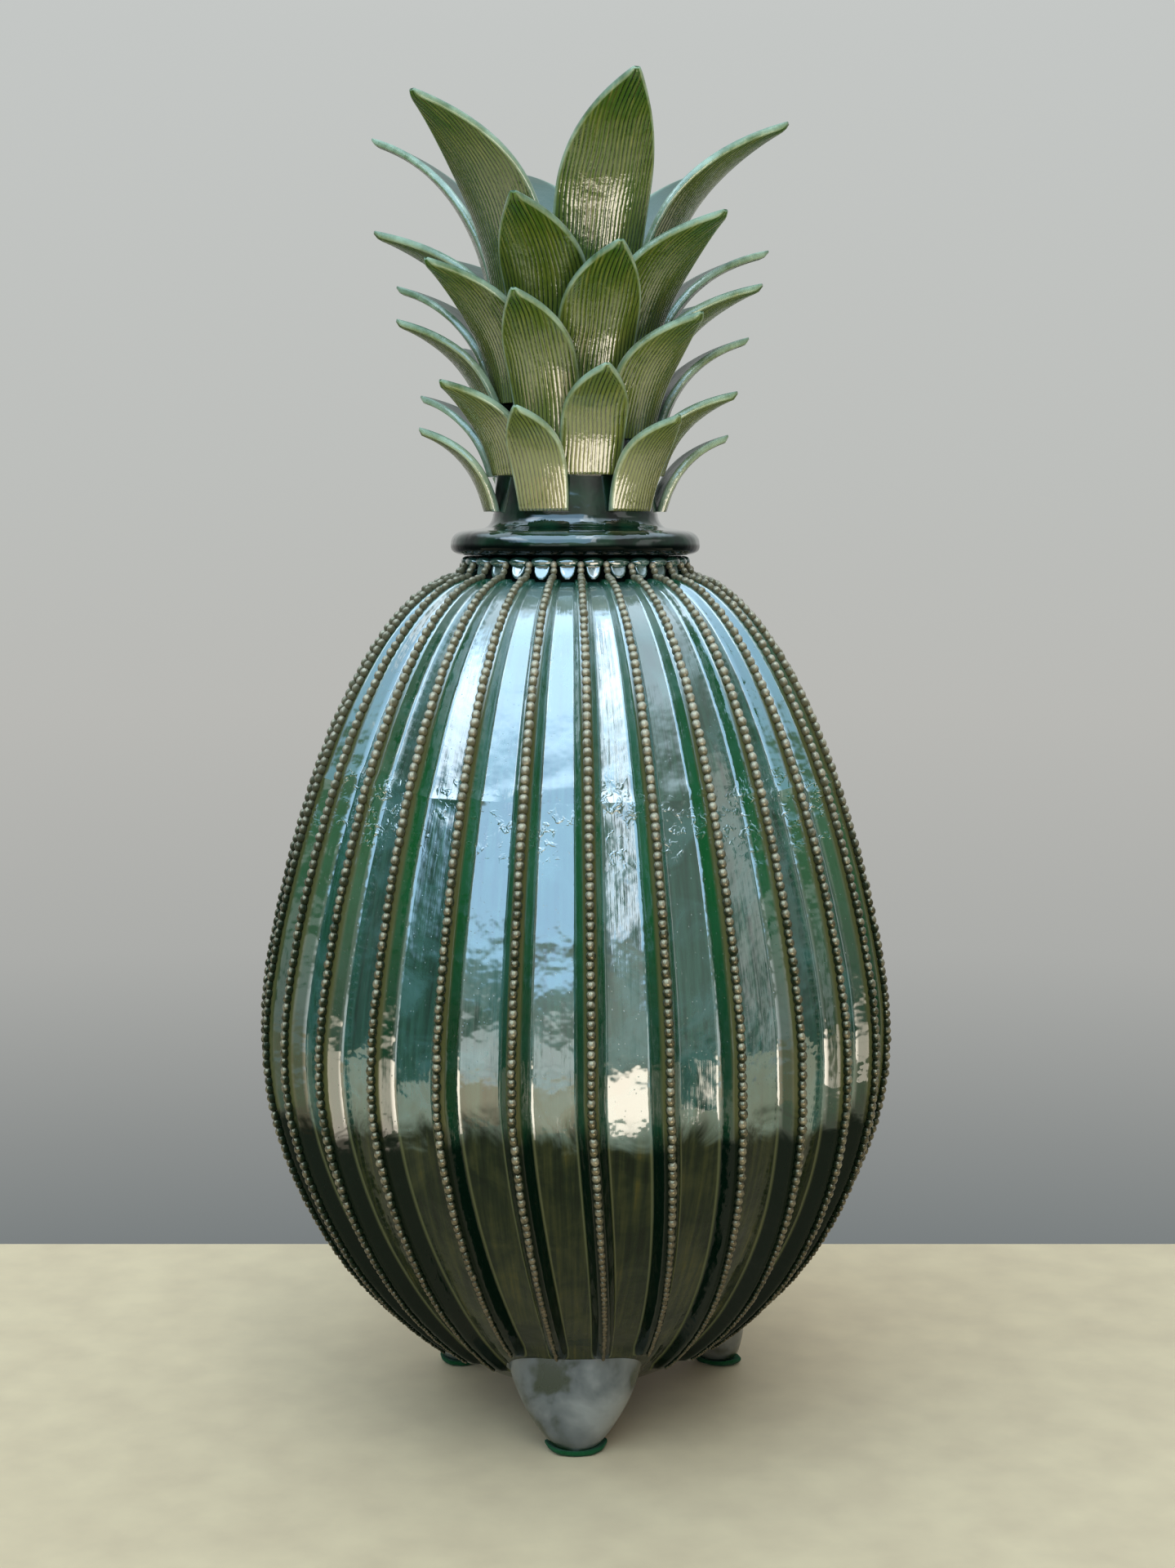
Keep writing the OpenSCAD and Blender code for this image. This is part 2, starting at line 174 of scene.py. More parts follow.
wheel = {"sways": ((2, 0.7, 1.0), (3, 2.1, 0.6), (7, 0.0, 0.3)), "sharpAngle": 50}  # waves in a turn, where each starts, its share


# Turns a half section of (radius, height) about the jar's axis, with a potter's slight unevenness
def turnOnWheel(name, section, around=160, uneven=0.0, loop=True, poles=(None, None)):
    section = np.asarray(section, dtype=float)
    turn = np.linspace(0, 2 * math.pi, around, endpoint=False)[None, :]
    sway = 1 + uneven * sum(share * np.sin(waves * turn + start) for waves, start, share in wheel["sways"])
    rings = turned(0 * turn, section[:, :1] * mm * sway, section[:, 1:] * mm + 0 * turn, turn)
    return skinRings(name, rings, loop=loop, poles=poles, sharpAngle=wheel["sharpAngle"])


def finishPiece(piece, body, slot, *nodes):
    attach(piece, body)
    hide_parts(*nodes)


# Camera, worked out from the jar's outline in the photograph; focal length and shift are shares of its height in pixels
view = {"height": 432.0, "distance": 1070.0, "tilt": 6.43, "sensor": 36.0, "focal": 2661 / 1920, "aside": 15 / 1920}
camera = bpy.data.objects.new("camera", bpy.data.cameras.new("camera"))
bpy.context.scene.collection.objects.link(camera)
camera.data.sensor_width = view["sensor"]
camera.data.lens = view["sensor"] * view["focal"]
camera.data.shift_x = view["aside"]
camera.location = (0, -view["distance"] * mm, view["height"] * mm)
camera.rotation_euler = (math.radians(90 - view["tilt"]), 0, 0)
bpy.context.scene.camera = camera
bpy.context.scene.view_settings.view_transform = "Standard"
print("camera set")

# Studio: a pale board in a dim room, soft patches of light round it, and a backdrop painted darker toward the bottom,
# as painted shade
studio = {"board": "#e8ca9e", "boardGrain": "#dcbe95", "grain": 30.0, "boardWide": 3200.0, "boardFront": 500.0, "boardBack": 230.0,
          "room": ("#e9edee", 0.06), "backdropLow": -0.32, "backdropHigh": 0.8, "mirrored": (0.5, 0.9), "spread": 0.6,
          "backdrop": ((0.0, "#757b7c"), (1.0, "#f0f2f1"), (0.048, "#8c8f8e"), (0.12, "#abaca9"),
                       (0.217, "#b9b9b5"), (0.313, "#bdbfbc"), (0.482, "#c4c7c5"))}
# each soft light: its colour and level, where it fades in and out from left to right,
# and the depths, low heights and high heights between which it comes up, all as parts of a direction of length 1
softLights = {
    "front": ("#a4cbee", 3.4, (-0.9, -0.74, 0.14, 0.4), (0.05, -0.1), (0.17, 0.27), (1.4, 1.0)),
    "sky": ("#c4dbec", 2.1, (-0.95, -0.7, 0.6, 0.85), (0.85, 0.55), (0.5, 0.72), (1.4, 1.0)),
    "cloud": ("#ffffff", 3.2, (0.05, 0.1, 0.18, 0.24), (0.0, -0.2), (0.66, 0.74), (0.985, 0.95)),
    "strip": ("#ffffff", 2.2, (0.2, 0.24, 0.29, 0.34), (0.0, -0.2), (0.2, 0.35), (0.95, 0.8)),
    "rightStrip": ("#f4f6f4", 0.6, (0.82, 0.86, 0.93, 0.97), (0.1, -0.1), (-0.3, -0.2), (0.5, 0.4)),
    "leftCloud": ("#f6f8f8", 2.2, (-0.86, -0.8, -0.68, -0.62), (0.0, -0.2), (0.4, 0.5), (0.85, 0.75)),
    "behind": ("#e9edf0", 0.18, (-1.4, -1.2, 1.2, 1.4), (-0.1, 0.3), (-0.2, 0.2), (3.0, 2.0)),
    "above": ("#f0eeea", 0.08, (-3.0, -2.0, 2.0, 3.0), (-3.0, -2.0), (0.3, 0.8), (3.0, 2.0)),
    "aside": ("#e8ebe6", 0.23, (0.05, 0.3, 0.9, 1.1), (0.3, -0.1), (-0.1, 0.05), (0.95, 0.6)),
    "facing": ("#e9ece4", 0.45, (-0.75, -0.45, 0.3, 0.6), (0.0, -0.4), (-0.16, -0.06), (0.3, 0.16)),
    "haze": ("#e2eaec", 1.25, (-0.7, -0.64, -0.12, -0.04), (0.0, -0.4), (-0.2, -0.14), (0.1, 0.03)),
    "groundLeft": ("#efd9b8", 1.1, (-0.8, -0.6, -0.03, 0.05), (0.0, -0.4), (-0.84, -0.68), (-0.12, -0.2)),
    "ground": ("#f9ecd9", 4.6, (-0.03, 0.05, 0.6, 0.72), (0.0, -0.4), (-0.84, -0.68), (-0.09, -0.15))}
world = bpy.data.worlds.new("studio")
world.use_nodes = True
bpy.context.scene.world = world
add = partial(addNode, world.node_tree)
direction = add("ShaderNodeTexCoord", use="Generated")
x, y, z = add("ShaderNodeSeparateXYZ", {0: direction}, use=None)
light = [studio["room"][1] * c for c in linear(studio["room"][0])[:3]]
for colour, shown, sides, depths, lows, highs in softLights.values():
    for axis, (none, full) in ((x, sides[:2]), (x, sides[:1:-1]), (y, depths), (z, lows), (z, highs)):
        faded = add("ShaderNodeMapRange", {0: axis, 1: none, 2: full}, interpolation_type="SMOOTHSTEP")
        shown = add("ShaderNodeMath", {0: faded, 1: shown}, operation="MULTIPLY")
    glow = add("ShaderNodeVectorMath", {0: linear(colour)[:3], "Scale": shown}, operation="SCALE")
    light = add("ShaderNodeVectorMath", {0: glow, 1: light}, operation="ADD")
# the backdrop is painted darker toward the bottom: painted shade
level = add("ShaderNodeMapRange", {0: z, 1: studio["backdropLow"], 2: studio["backdropHigh"]})
backdrop = add("ShaderNodeValToRGB", {0: level}, stops=studio["backdrop"])
rays = add("ShaderNodeLightPath", use=None)
# the glaze mirrors the backdrop too, where that stands behind the jar
rear = add("ShaderNodeMapRange", {0: y, 1: studio["mirrored"][0], 2: studio["mirrored"][1]})
mirrored = add("ShaderNodeMath", {0: rays["Is Glossy Ray"], 1: rear}, operation="MULTIPLY")
seen = add("ShaderNodeMath", {0: rays["Is Camera Ray"], 1: mirrored}, operation="MAXIMUM")
# what falls on matt surfaces is kept to a plain level, so that a colour renders about as it is written
share = add("ShaderNodeMapRange", {0: rays["Is Glossy Ray"], 3: studio["spread"], 4: 1.0})
fallen = add("ShaderNodeVectorMath", {0: light, "Scale": share}, operation="SCALE")
shownLight = add("ShaderNodeMix", {0: seen, 6: fallen, 7: backdrop}, use=2, data_type="RGBA")
setInputs(world.node_tree.nodes["Background"], {"Color": shownLight, "Strength": 1.0})

# Matt painted board: an even pale sand with a faint grain
floorPaint, shader, add = newMaterial("mattPaintedBoard", roughness=0.6)
place = add("ShaderNodeTexCoord", use="Object")
grain = add("ShaderNodeTexNoise", {0: place, "Scale": 1 / (studio["grain"] * mm), "Detail": 4.0})
paint = add("ShaderNodeValToRGB", {0: grain}, stops=((0.3, studio["boardGrain"]), (0.7, studio["board"])))
setInputs(shader, {"Base Color": paint})
half, near, far = studio["boardWide"] / 2 * mm, -studio["boardFront"] * mm, studio["boardBack"] * mm
floor = newPiece("floor", [(-half, near, 0), (half, near, 0), (half, far, 0), (-half, far, 0)], [[0, 1, 2, 3]], smooth=False)
floor.data.materials.append(floorPaint)
print("studio set")


# Press-moulded earthenware under a thick copper-green lead glaze: glassy, pooled dark in the flutes, thin and brown on
# edges, with painted shade low down and on the ridge walls and a painted reflection under the collar
def glassyGreen():
    glaze = {"streakWide": 3.5, "streakLong": 70.0, "streakDeep": 0.12, "patch": 26.0, "wave": 20.0, "waveDeep": 1.1,
             "pit": 2.6, "pitDeep": 0.15, "pitShare": 0.5, "blister": 4.0, "blisterHigh": 0.4, "jointZ": 308.0,
             "lowSag": 0.75, "lowWander": 40.0, "lowPatches": 0.45}
    material, shader, add = newMaterial("copperGreenGlaze", ior=2.0, coat_ior=2.05, coat_roughness=0.02)
    around = add("ShaderNodeUVMap", uv_map="glazeMap")
    place = add("ShaderNodeTexCoord", use="Object")
    ridge = add("ShaderNodeAttribute", use="Fac", attribute_name="ridge")
    aside, _, height = add("ShaderNodeSeparateXYZ", {0: place}, use=None)
    streakScale = (1 / (glaze["streakWide"] * mm), 1 / (glaze["streakLong"] * mm), 1)
    runs = add("ShaderNodeMapping", {0: around, "Scale": streakScale})
    streaks = add("ShaderNodeTexNoise", {0: runs, "Scale": 1.0, "Detail": 5.0, "Roughness": 0.6})
    patches = add("ShaderNodeTexNoise", {0: place, "Scale": 1 / (glaze["patch"] * mm), "Detail": 4.0, "Roughness": 0.62, "Distortion": 0.8})
    waves = add("ShaderNodeTexNoise", {0: place, "Scale": 1 / (glaze["wave"] * mm), "Detail": 3.0, "Roughness": 0.45})
    pits = add("ShaderNodeTexVoronoi", {0: place, "Scale": 1 / (glaze["pit"] * mm)}, use="Distance")
    blisters = add("ShaderNodeTexNoise", {0: place, "Scale": 1 / (glaze["blister"] * mm), "Detail": 2.0, "Distortion": 0.6})
    overJoint = add("ShaderNodeMath", {0: height, 1: glaze["jointZ"] * mm}, operation="SUBTRACT")
    fromJoint = add("ShaderNodeMath", {0: overJoint}, operation="ABSOLUTE")
    # the edge of the dark lower part sags toward the sides and wanders
    square = add("ShaderNodeMath", {0: aside, 1: aside}, operation="MULTIPLY")
    sag = add("ShaderNodeMath", {0: square, 1: glaze["lowSag"], 2: height}, operation="MULTIPLY_ADD")
    wander = add("ShaderNodeMath", {0: patches, 1: glaze["lowWander"] * mm, 2: sag}, operation="MULTIPLY_ADD")
    # each fade: what it reads, where it begins and is complete, and its share at either end
    softFades = {"pooled": (patches, 0.42, 0.66), "patchy": (patches, 0.42, 0.58), "wallLitShare": (height, 200 * mm, 310 * mm),
                 "hazeBand": (height, 385 * mm, 399 * mm, 0.0, 0.6), "low": (wander, 203 * mm, 187 * mm, 0.0, 0.96),
                 "wall": (ridge, 0.02, 0.16), "steep": (ridge, 0.1, 0.3, 0.0, 0.7), "crest": (ridge, 0.62, 0.9),
                 "pitted": (pits, 0.12, 0.02), "blown": (blisters, 0.5, 0.68), "atJoint": (fromJoint, 24 * mm, 4 * mm)}
    evenFades = {"ended": (height, 411 * mm, 408 * mm), "covered": (height, 290 * mm, 400 * mm, 0.85, 0.35),
                 "sheltered": (height, 300 * mm, 390 * mm, 1.0, 0.2), "panelEdgeHighlight": (ridge, 0.002, 0.03, 0.0, 0.6),
                 "rough": (patches, 0.35, 0.7, 0.05, 0.16)}
    fade = {name: add("ShaderNodeMapRange", dict(enumerate(span)), interpolation_type=kind)
            for kind, spans in (("SMOOTHSTEP", softFades), ("LINEAR", evenFades)) for name, span in spans.items()}
    # over streaky green lie pools, a grey band under the collar that is a painted reflection, clear green ridge walls
    # and olive clay on the crests
    colour = add("ShaderNodeValToRGB", {0: streaks}, stops=((0.25, "#1c3627"), (0.75, "#41705b"), (0.5, "#2a5441")))
    paintedHaze = add("ShaderNodeMath", {0: fade["hazeBand"], 1: fade["ended"]}, operation="MULTIPLY")
    walled = add("ShaderNodeMath", {0: fade["wall"], 1: fade["covered"]}, operation="MULTIPLY")
    # the ridge walls are painted darker toward the belly: painted shade
    clear = add("ShaderNodeMix", {0: fade["wallLitShare"], 6: "#0c3616", 7: "#185e2a"}, use=2, data_type="RGBA")
    for share, laid in ((fade["pooled"], "#447064"), (paintedHaze, "#9aa59b"), (walled, clear), (fade["crest"], "#555531")):
        colour = add("ShaderNodeMix", {0: share, 6: colour, 7: laid}, use=2, data_type="RGBA")
    # below the belly it is painted dark as painted shade, over olive and ochre streaks with brown clay behind them in
    # patches; a pale olive line along each panel's edge is a painted highlight, and the walls there are painted near
    # black as painted shade
    runny = add("ShaderNodeMix", {0: glaze["lowPatches"], 2: streaks, 3: patches})
    deepStops = ((0.34, "#091106"), (0.7, "#594d16"), (0.46, "#1b220e"), (0.58, "#363616"))
    deep = add("ShaderNodeValToRGB", {0: runny}, stops=deepStops)
    for share, laid in ((fade["panelEdgeHighlight"], "#737249"), (fade["wall"], "#03130b")):
        deep = add("ShaderNodeMix", {0: share, 6: deep, 7: laid}, use=2, data_type="RGBA")
    colour = add("ShaderNodeMix", {0: fade["low"], 6: colour, 7: deep}, use=2, data_type="RGBA")
    # the lower part, the ridge walls and the crests shine less: on the lower part and the walls the reflection is
    # tinted dark as painted shade, and on the crests the glaze is thin
    shaded = add("ShaderNodeMath", {0: fade["steep"], 1: fade["sheltered"]}, operation="MULTIPLY")
    wearAndPaintedLight = add("ShaderNodeMath", {0: shaded, 1: fade["crest"]}, operation="MAXIMUM")
    dullShare = add("ShaderNodeMath", {0: fade["low"], 1: wearAndPaintedLight}, operation="MAXIMUM")
    dulled = add("ShaderNodeMix", {0: dullShare, 6: "#ffffff", 7: "#35312a"}, use=2, data_type="RGBA")
    thick = add("ShaderNodeMath", {0: 1.0, 1: dullShare}, operation="SUBTRACT")
    # it lies in waves and runs, is pitted, and has blistered over the joint of the two halves
    blistered = add("ShaderNodeMath", {0: fade["blown"], 1: fade["atJoint"]}, operation="MULTIPLY")
    raised = add("ShaderNodeMath", {0: blistered, 1: fade["patchy"]}, operation="MULTIPLY")
    normal = add("ShaderNodeBump", {"Height": waves, "Strength": 1.0, "Distance": glaze["waveDeep"] * mm})
    bumps = ((streaks, 1.0, glaze["streakDeep"], False), (fade["pitted"], glaze["pitShare"], glaze["pitDeep"], True),
             (raised, 1.0, glaze["blisterHigh"], False))
    for relief, strength, depth, sunk in bumps:
        bump = {"Height": relief, "Strength": strength, "Distance": depth * mm, "Normal": normal}
        normal = add("ShaderNodeBump", bump, invert=sunk)
    setInputs(shader, {"Base Color": colour, "Roughness": fade["rough"], "Normal": normal, "Coat Normal": normal,
                       "Coat Weight": thick, "Specular Tint": dulled})
    return material


# Wheel-thrown earthenware under the same glaze, laid on so thick that it looks almost black
def darkGreen():
    glaze = {"pool": 14.0, "wave": 9.0, "waveDeep": 0.35, "coat": 0.7, "dullFrom": 430.2, "dullTo": 428.4}
    material, shader, add = newMaterial("darkGreenGlaze", ior=1.55, coat_ior=1.6, coat_roughness=0.02)
    place = add("ShaderNodeTexCoord", use="Object")
    height = add("ShaderNodeSeparateXYZ", {0: place}, use="Z")
    pools = add("ShaderNodeTexNoise", {0: place, "Scale": 1 / (glaze["pool"] * mm), "Detail": 4.0})
    waves = add("ShaderNodeTexNoise", {0: place, "Scale": 1 / (glaze["wave"] * mm), "Detail": 2.0})
    colour = add("ShaderNodeValToRGB", {0: pools}, stops=((0.35, "#06130c"), (0.7, "#15412a")))
    # under the rim it is painted black and its reflection tinted dark: painted shade
    dullBand = {0: height, 1: glaze["dullFrom"] * mm, 2: glaze["dullTo"] * mm}
    under = add("ShaderNodeMapRange", dullBand, interpolation_type="SMOOTHSTEP")
    dulled = add("ShaderNodeMix", {0: under, 6: "#ffffff", 7: "#2a2c26"}, use=2, data_type="RGBA")
    blackened = add("ShaderNodeMix", {0: under, 6: colour, 7: "#050c09"}, use=2, data_type="RGBA")
    thick = add("ShaderNodeMapRange", {0: under, 3: glaze["coat"], 4: 0.0})
    rough = add("ShaderNodeMapRange", {0: pools, 1: 0.3, 2: 0.7, 3: 0.04, 4: 0.12})
    normal = add("ShaderNodeBump", {"Height": waves, "Strength": 1.0, "Distance": glaze["waveDeep"] * mm})
    setInputs(shader, {"Base Color": blackened, "Roughness": rough, "Normal": normal, "Coat Normal": normal,
                       "Coat Weight": thick, "Specular Tint": dulled})
    return material


# Slip-coated clay beads under a thin clear glaze: putty tops lit on the upper outer side and dark on the rest, painted
# light and shade over dark green glaze caught between them
def puttyBeads():
    clay = {"smudge": 3.0, "smudgeShare": 0.9, "smudgeDeep": 0.25, "coat": 0.35}
    material, shader, add = newMaterial("clearGlazedClay", ior=2.0, roughness=0.14, coat_ior=1.5, coat_roughness=0.05)
    place = add("ShaderNodeTexCoord", use="Object")
    height = add("ShaderNodeSeparateXYZ", {0: place}, use="Z")
    lift, tint = (add("ShaderNodeAttribute", use="Fac", attribute_name=name) for name in ("lift", "tint"))
    smudge = add("ShaderNodeTexNoise", {0: place, "Scale": 1 / (clay["smudge"] * mm), "Detail": 3.0})
    level = add("ShaderNodeMath", {0: smudge, 1: clay["smudgeShare"], 2: lift}, operation="MULTIPLY_ADD")
    # each fade: what it reads, where it begins and is complete, and its share at either end
    fades = {"low": (height, 185 * mm, 85 * mm, 0.0, 0.85), "high": (height, 250 * mm, 370 * mm, 0.0, 0.6), "bareAndLit": (level, 1.0, 1.42)}
    low, high, bareAndLit = (add("ShaderNodeMapRange", dict(enumerate(span)), interpolation_type="SMOOTHSTEP") for span in fades.values())
    # the beads are paler toward the neck; toward the foot they are painted dark brown, painted shade over the brown
    # clay that shows there
    colour = add("ShaderNodeValToRGB", {0: tint}, stops=((0.0, "#473f28"), (1.0, "#897e64"), (0.5, "#665c45")))
    for share, laid in ((high, "#ccc1a8"), (low, "#3b2d26")):
        colour = add("ShaderNodeMix", {0: share, 6: colour, 7: laid}, use=2, data_type="RGBA")
    # each bead's upper outer side is painted pale and the rest dark: painted light and shade
    caughtAndShaded = add("ShaderNodeMix", {0: high, 6: "#1f2818", 7: "#877e61"}, use=2, data_type="RGBA")
    colour = add("ShaderNodeMix", {0: bareAndLit, 6: caughtAndShaded, 7: colour}, use=2, data_type="RGBA")
    # the dark side's reflection is tinted dark too: painted shade
    dulled = add("ShaderNodeMix", {0: bareAndLit, 6: "#3a3a32", 7: "#e2d3a4"}, use=2, data_type="RGBA")
    coat = add("ShaderNodeMapRange", {0: low, 3: clay["coat"], 4: 0.0})
    shineShare = add("ShaderNodeMath", {0: bareAndLit, 1: coat}, operation="MULTIPLY")
    normal = add("ShaderNodeBump", {"Height": smudge, "Strength": 0.6, "Distance": clay["smudgeDeep"] * mm})
    setInputs(shader, {"Base Color": colour, "Normal": normal, "Coat Weight": shineShare, "Specular Tint": dulled})
    return material


# Hand-rolled clay leaves with combed veins under a yellowish olive glaze, dark where it pools, pale on the edges where
# it runs off and where a painted highlight lies, with a painted reflection on the low leaves and painted shade in the
# reflection toward the tips
def olive():
    glaze = {"blotch": 16.0, "blotchDeep": 0.9, "blotchShare": 0.9, "strand": 0.9, "strandsAlong": 5.0, "strandDeep": 0.15, "ramp": 0.6}
    material, shader, add = newMaterial("oliveGreenGlaze", ior=1.9, coat_ior=1.85, coat_roughness=0.04)
    place = add("ShaderNodeTexCoord", use="Object")
    height = add("ShaderNodeSeparateXYZ", {0: place}, use="Z")
    vein, rim, along, skin, sideways = (add("ShaderNodeAttribute", use="Fac", attribute_name=name)
                                        for name in ("vein", "rim", "along", "skin", "sideways"))
    blotch = add("ShaderNodeTexNoise", {0: place, "Scale": 1 / (glaze["blotch"] * mm), "Detail": 5.0, "Roughness": 0.6})
    across = add("ShaderNodeMath", {0: sideways, 1: 1 / (glaze["strand"] * mm)}, operation="MULTIPLY")
    upward = add("ShaderNodeMath", {0: along, 1: glaze["strandsAlong"]}, operation="MULTIPLY")
    strand = add("ShaderNodeCombineXYZ", {0: across, 1: upward})
    strands = add("ShaderNodeTexNoise", {0: strand, "Scale": 1.0, "Detail": 3.0})
    # each fade: what it reads, where it begins and is complete, and its share at either end
    fades = {"streaked": (strands, 0.5, 0.75, 0.0, 0.45), "paleReflection": (height, 560 * mm, 450 * mm, 0.0, 0.3),
             "rimPatches": (blotch, 0.3, 0.6, 0.05, 0.6), "rough": (blotch, 0.3, 0.7, 0.03, 0.11), "backRough": (skin, 0.0, 1.0, 0.3, 0.0),
             "shineShare": (along, 0.4, 0.8, 1.0, 0.12), "coated": (skin, 0.0, 1.0, 0.2, 1.0)}
    fade = {name: add("ShaderNodeMapRange", dict(enumerate(span))) for name, span in fades.items()}
    level = add("ShaderNodeMath", {0: blotch, 1: glaze["blotchShare"], 2: along}, operation="MULTIPLY_ADD")
    ramped = add("ShaderNodeMath", {0: level, 1: glaze["ramp"]}, operation="MULTIPLY")
    # yellow strands, a painted pale reflection on the low leaves and dark veins on the front, and a plain dark green
    # back
    colour = add("ShaderNodeValToRGB", {0: ramped}, stops=((0.15, "#6d732d"), (0.9, "#3b6322"), (0.5, "#667a26")))
    for share, laid in ((fade["streaked"], "#b1b05e"), (fade["paleReflection"], "#b2b066"), (vein, "#111e0b")):
        colour = add("ShaderNodeMix", {0: share, 6: colour, 7: laid}, use=2, data_type="RGBA")
    backed = add("ShaderNodeMix", {0: skin, 6: "#204c3b", 7: colour}, use=2, data_type="RGBA")
    # the pale edges are partly worn glaze and partly a painted highlight
    wearAndPaintedLight = add("ShaderNodeMath", {0: rim, 1: fade["rimPatches"]}, operation="MULTIPLY")
    colour = add("ShaderNodeMix", {0: wearAndPaintedLight, 6: backed, 7: "#c9e2c2"}, use=2, data_type="RGBA")
    lumpy = add("ShaderNodeBump", {"Height": blotch, "Strength": 1.0, "Distance": glaze["blotchDeep"] * mm})
    normal = add("ShaderNodeBump", {"Height": strands, "Strength": 0.3, "Distance": glaze["strandDeep"] * mm, "Normal": lumpy})
    rough = add("ShaderNodeMath", {0: fade["rough"], 1: fade["backRough"]}, operation="ADD")
    # it shines fully on the lower half; toward the tip its reflection is tinted dull as painted shade, and its coat is
    # thinner
    dulled = add("ShaderNodeMix", {0: fade["shineShare"], 6: "#6e6e58", 7: "#ffffff"}, use=2, data_type="RGBA")
    thick = add("ShaderNodeMath", {0: fade["shineShare"], 1: fade["coated"]}, operation="MULTIPLY")
    setInputs(shader, {"Base Color": colour, "Roughness": rough, "Normal": normal, "Coat Normal": normal,
                       "Coat Weight": thick, "Specular Tint": dulled})
    return material


# Clay feet wiped nearly clean of glaze: grey-green, with pale grey patches that are a painted reflection, and a soft
# sheen
def wipedClay():
    clay = {"smear": 30.0, "smearDeep": 0.5}
    material, shader, add = newMaterial("thinGreyGlaze", ior=1.55, coat_weight=0.5, coat_roughness=0.12)
    place = add("ShaderNodeTexCoord", use="Object")
    smear = add("ShaderNodeTexNoise", {0: place, "Scale": 1 / (clay["smear"] * mm), "Detail": 4.0, "Distortion": 0.3})
    colour = add("ShaderNodeValToRGB", {0: smear}, stops=((0.44, "#2c3522"), (0.68, "#929189"), (0.5, "#606360")))
    rough = add("ShaderNodeMapRange", {0: smear, 1: 0.3, 2: 0.7, 3: 0.2, 4: 0.45})
    normal = add("ShaderNodeBump", {"Height": smear, "Strength": 0.8, "Distance": clay["smearDeep"] * mm})
    setInputs(shader, {"Base Color": colour, "Roughness": rough, "Normal": normal})
    return material


# Pressed wool felt: matt, hairy, a little uneven in dye; fibres drawn at 0.5 mm so that they show
def woolFelt():
    wool = {"fibre": 0.5, "fibreDeep": 0.4}
    material, shader, add = newMaterial("pressedWoolFelt", roughness=1.0, specular_ior_level=0.2, sheen_weight=0.08, sheen_roughness=0.5)
    place = add("ShaderNodeTexCoord", use="Object")
    fibres = add("ShaderNodeTexNoise", {0: place, "Scale": 1 / (wool["fibre"] * mm), "Detail": 4.0, "Distortion": 2.0})
    colour = add("ShaderNodeValToRGB", {0: fibres}, stops=((0.3, "#0c3618"), (0.7, "#1b5f2f")))
    normal = add("ShaderNodeBump", {"Height": fibres, "Strength": 0.8, "Distance": wool["fibreDeep"] * mm})
    setInputs(shader, {"Base Color": colour, "Normal": normal})
    return material


glassyGlaze, darkGlaze, beadClay = glassyGreen(), darkGreen(), puttyBeads()
leafGlaze, footGlaze, felt = olive(), wipedClay(), woolFelt()
print("materials made")

# Body: two moulded halves, an egg with a raised ridge at each flute
body = {"bellyR": 150.0, "bellyZ": 190.0, "baseZ": 8.0, "topZ": 412.0, "seamZ": 317.0, "neckR": 54.5, "wall": 8.0,
        "bellySoft": 26.0, "softOver": 55.0, "softSteps": 15,
        "upperSwell": 1.35, "upperRound": 0.56, "lowerSwell": 1.75, "lowerRound": 0.535,
        "flutes": 28, "firstTurn": 2.6, "drift": 6.0, "driftCurve": 1.3, "ridgeRise": 5.0, "riseAtNeck": 0.35, "riseOver": 60.0,
        "ridgeWide": 5.0, "ridgeShare": 0.42, "ridgeEnd": 38.0, "ridgeEndOverFoot": 55.0, "ridgeFade": 5.0,
        "crestSteps": (0, 0.4, 0.75, 1), "crestFall": 0.2, "wallSteps": 11, "panelShare": 0.6, "panelSteps": 5,
        "outlineSteps": 4000, "ringGap": 3.8, "innerRings": 14, "sharpAngle": 60}
foot = {"names": ("front", "right", "left"), "turns": (0, 119, 234), "out": (73.0, 86.0, 73.0), "topOut": 64.0, "luteZ": 49.0,
        "endWide": 21.0, "endThick": 18.0, "topWide": 66.0, "topThick": 46.0, "topZ": 52.0, "soleZ": 2.5,
        "square": 0.75, "full": 0.82, "over": 0.4, "rings": 26, "around": 64, "sharpAngle": 60}


def mouldR(z):
    up = np.clip((z - body["bellyZ"]) / (body["topZ"] - body["bellyZ"]), 0, 1)
    down = np.clip((body["bellyZ"] - z) / (body["bellyZ"] - body["baseZ"]), 0, 1)
    upper = body["neckR"] + (body["bellyR"] - body["neckR"]) * (1 - up ** body["upperSwell"]) ** body["upperRound"]
    return np.where(z > body["bellyZ"], upper, body["bellyR"] * (1 - down ** body["lowerSwell"]) ** body["lowerRound"])


# The two curves meet in a soft belly
def bodyR(z):
    z = np.asarray(z, dtype=float)
    reach = body["bellySoft"] * np.exp(-((z - body["bellyZ"]) / body["softOver"]) ** 2)
    return np.mean([mouldR(z + reach * step) for step in np.linspace(-1, 1, body["softSteps"])], axis=0)


def undersideZ(r):
    share = np.clip(r / body["bellyR"], 0, 1) ** (1 / body["lowerRound"])
    return body["bellyZ"] - (body["bellyZ"] - body["baseZ"]) * (1 - share) ** (1 / body["lowerSwell"])


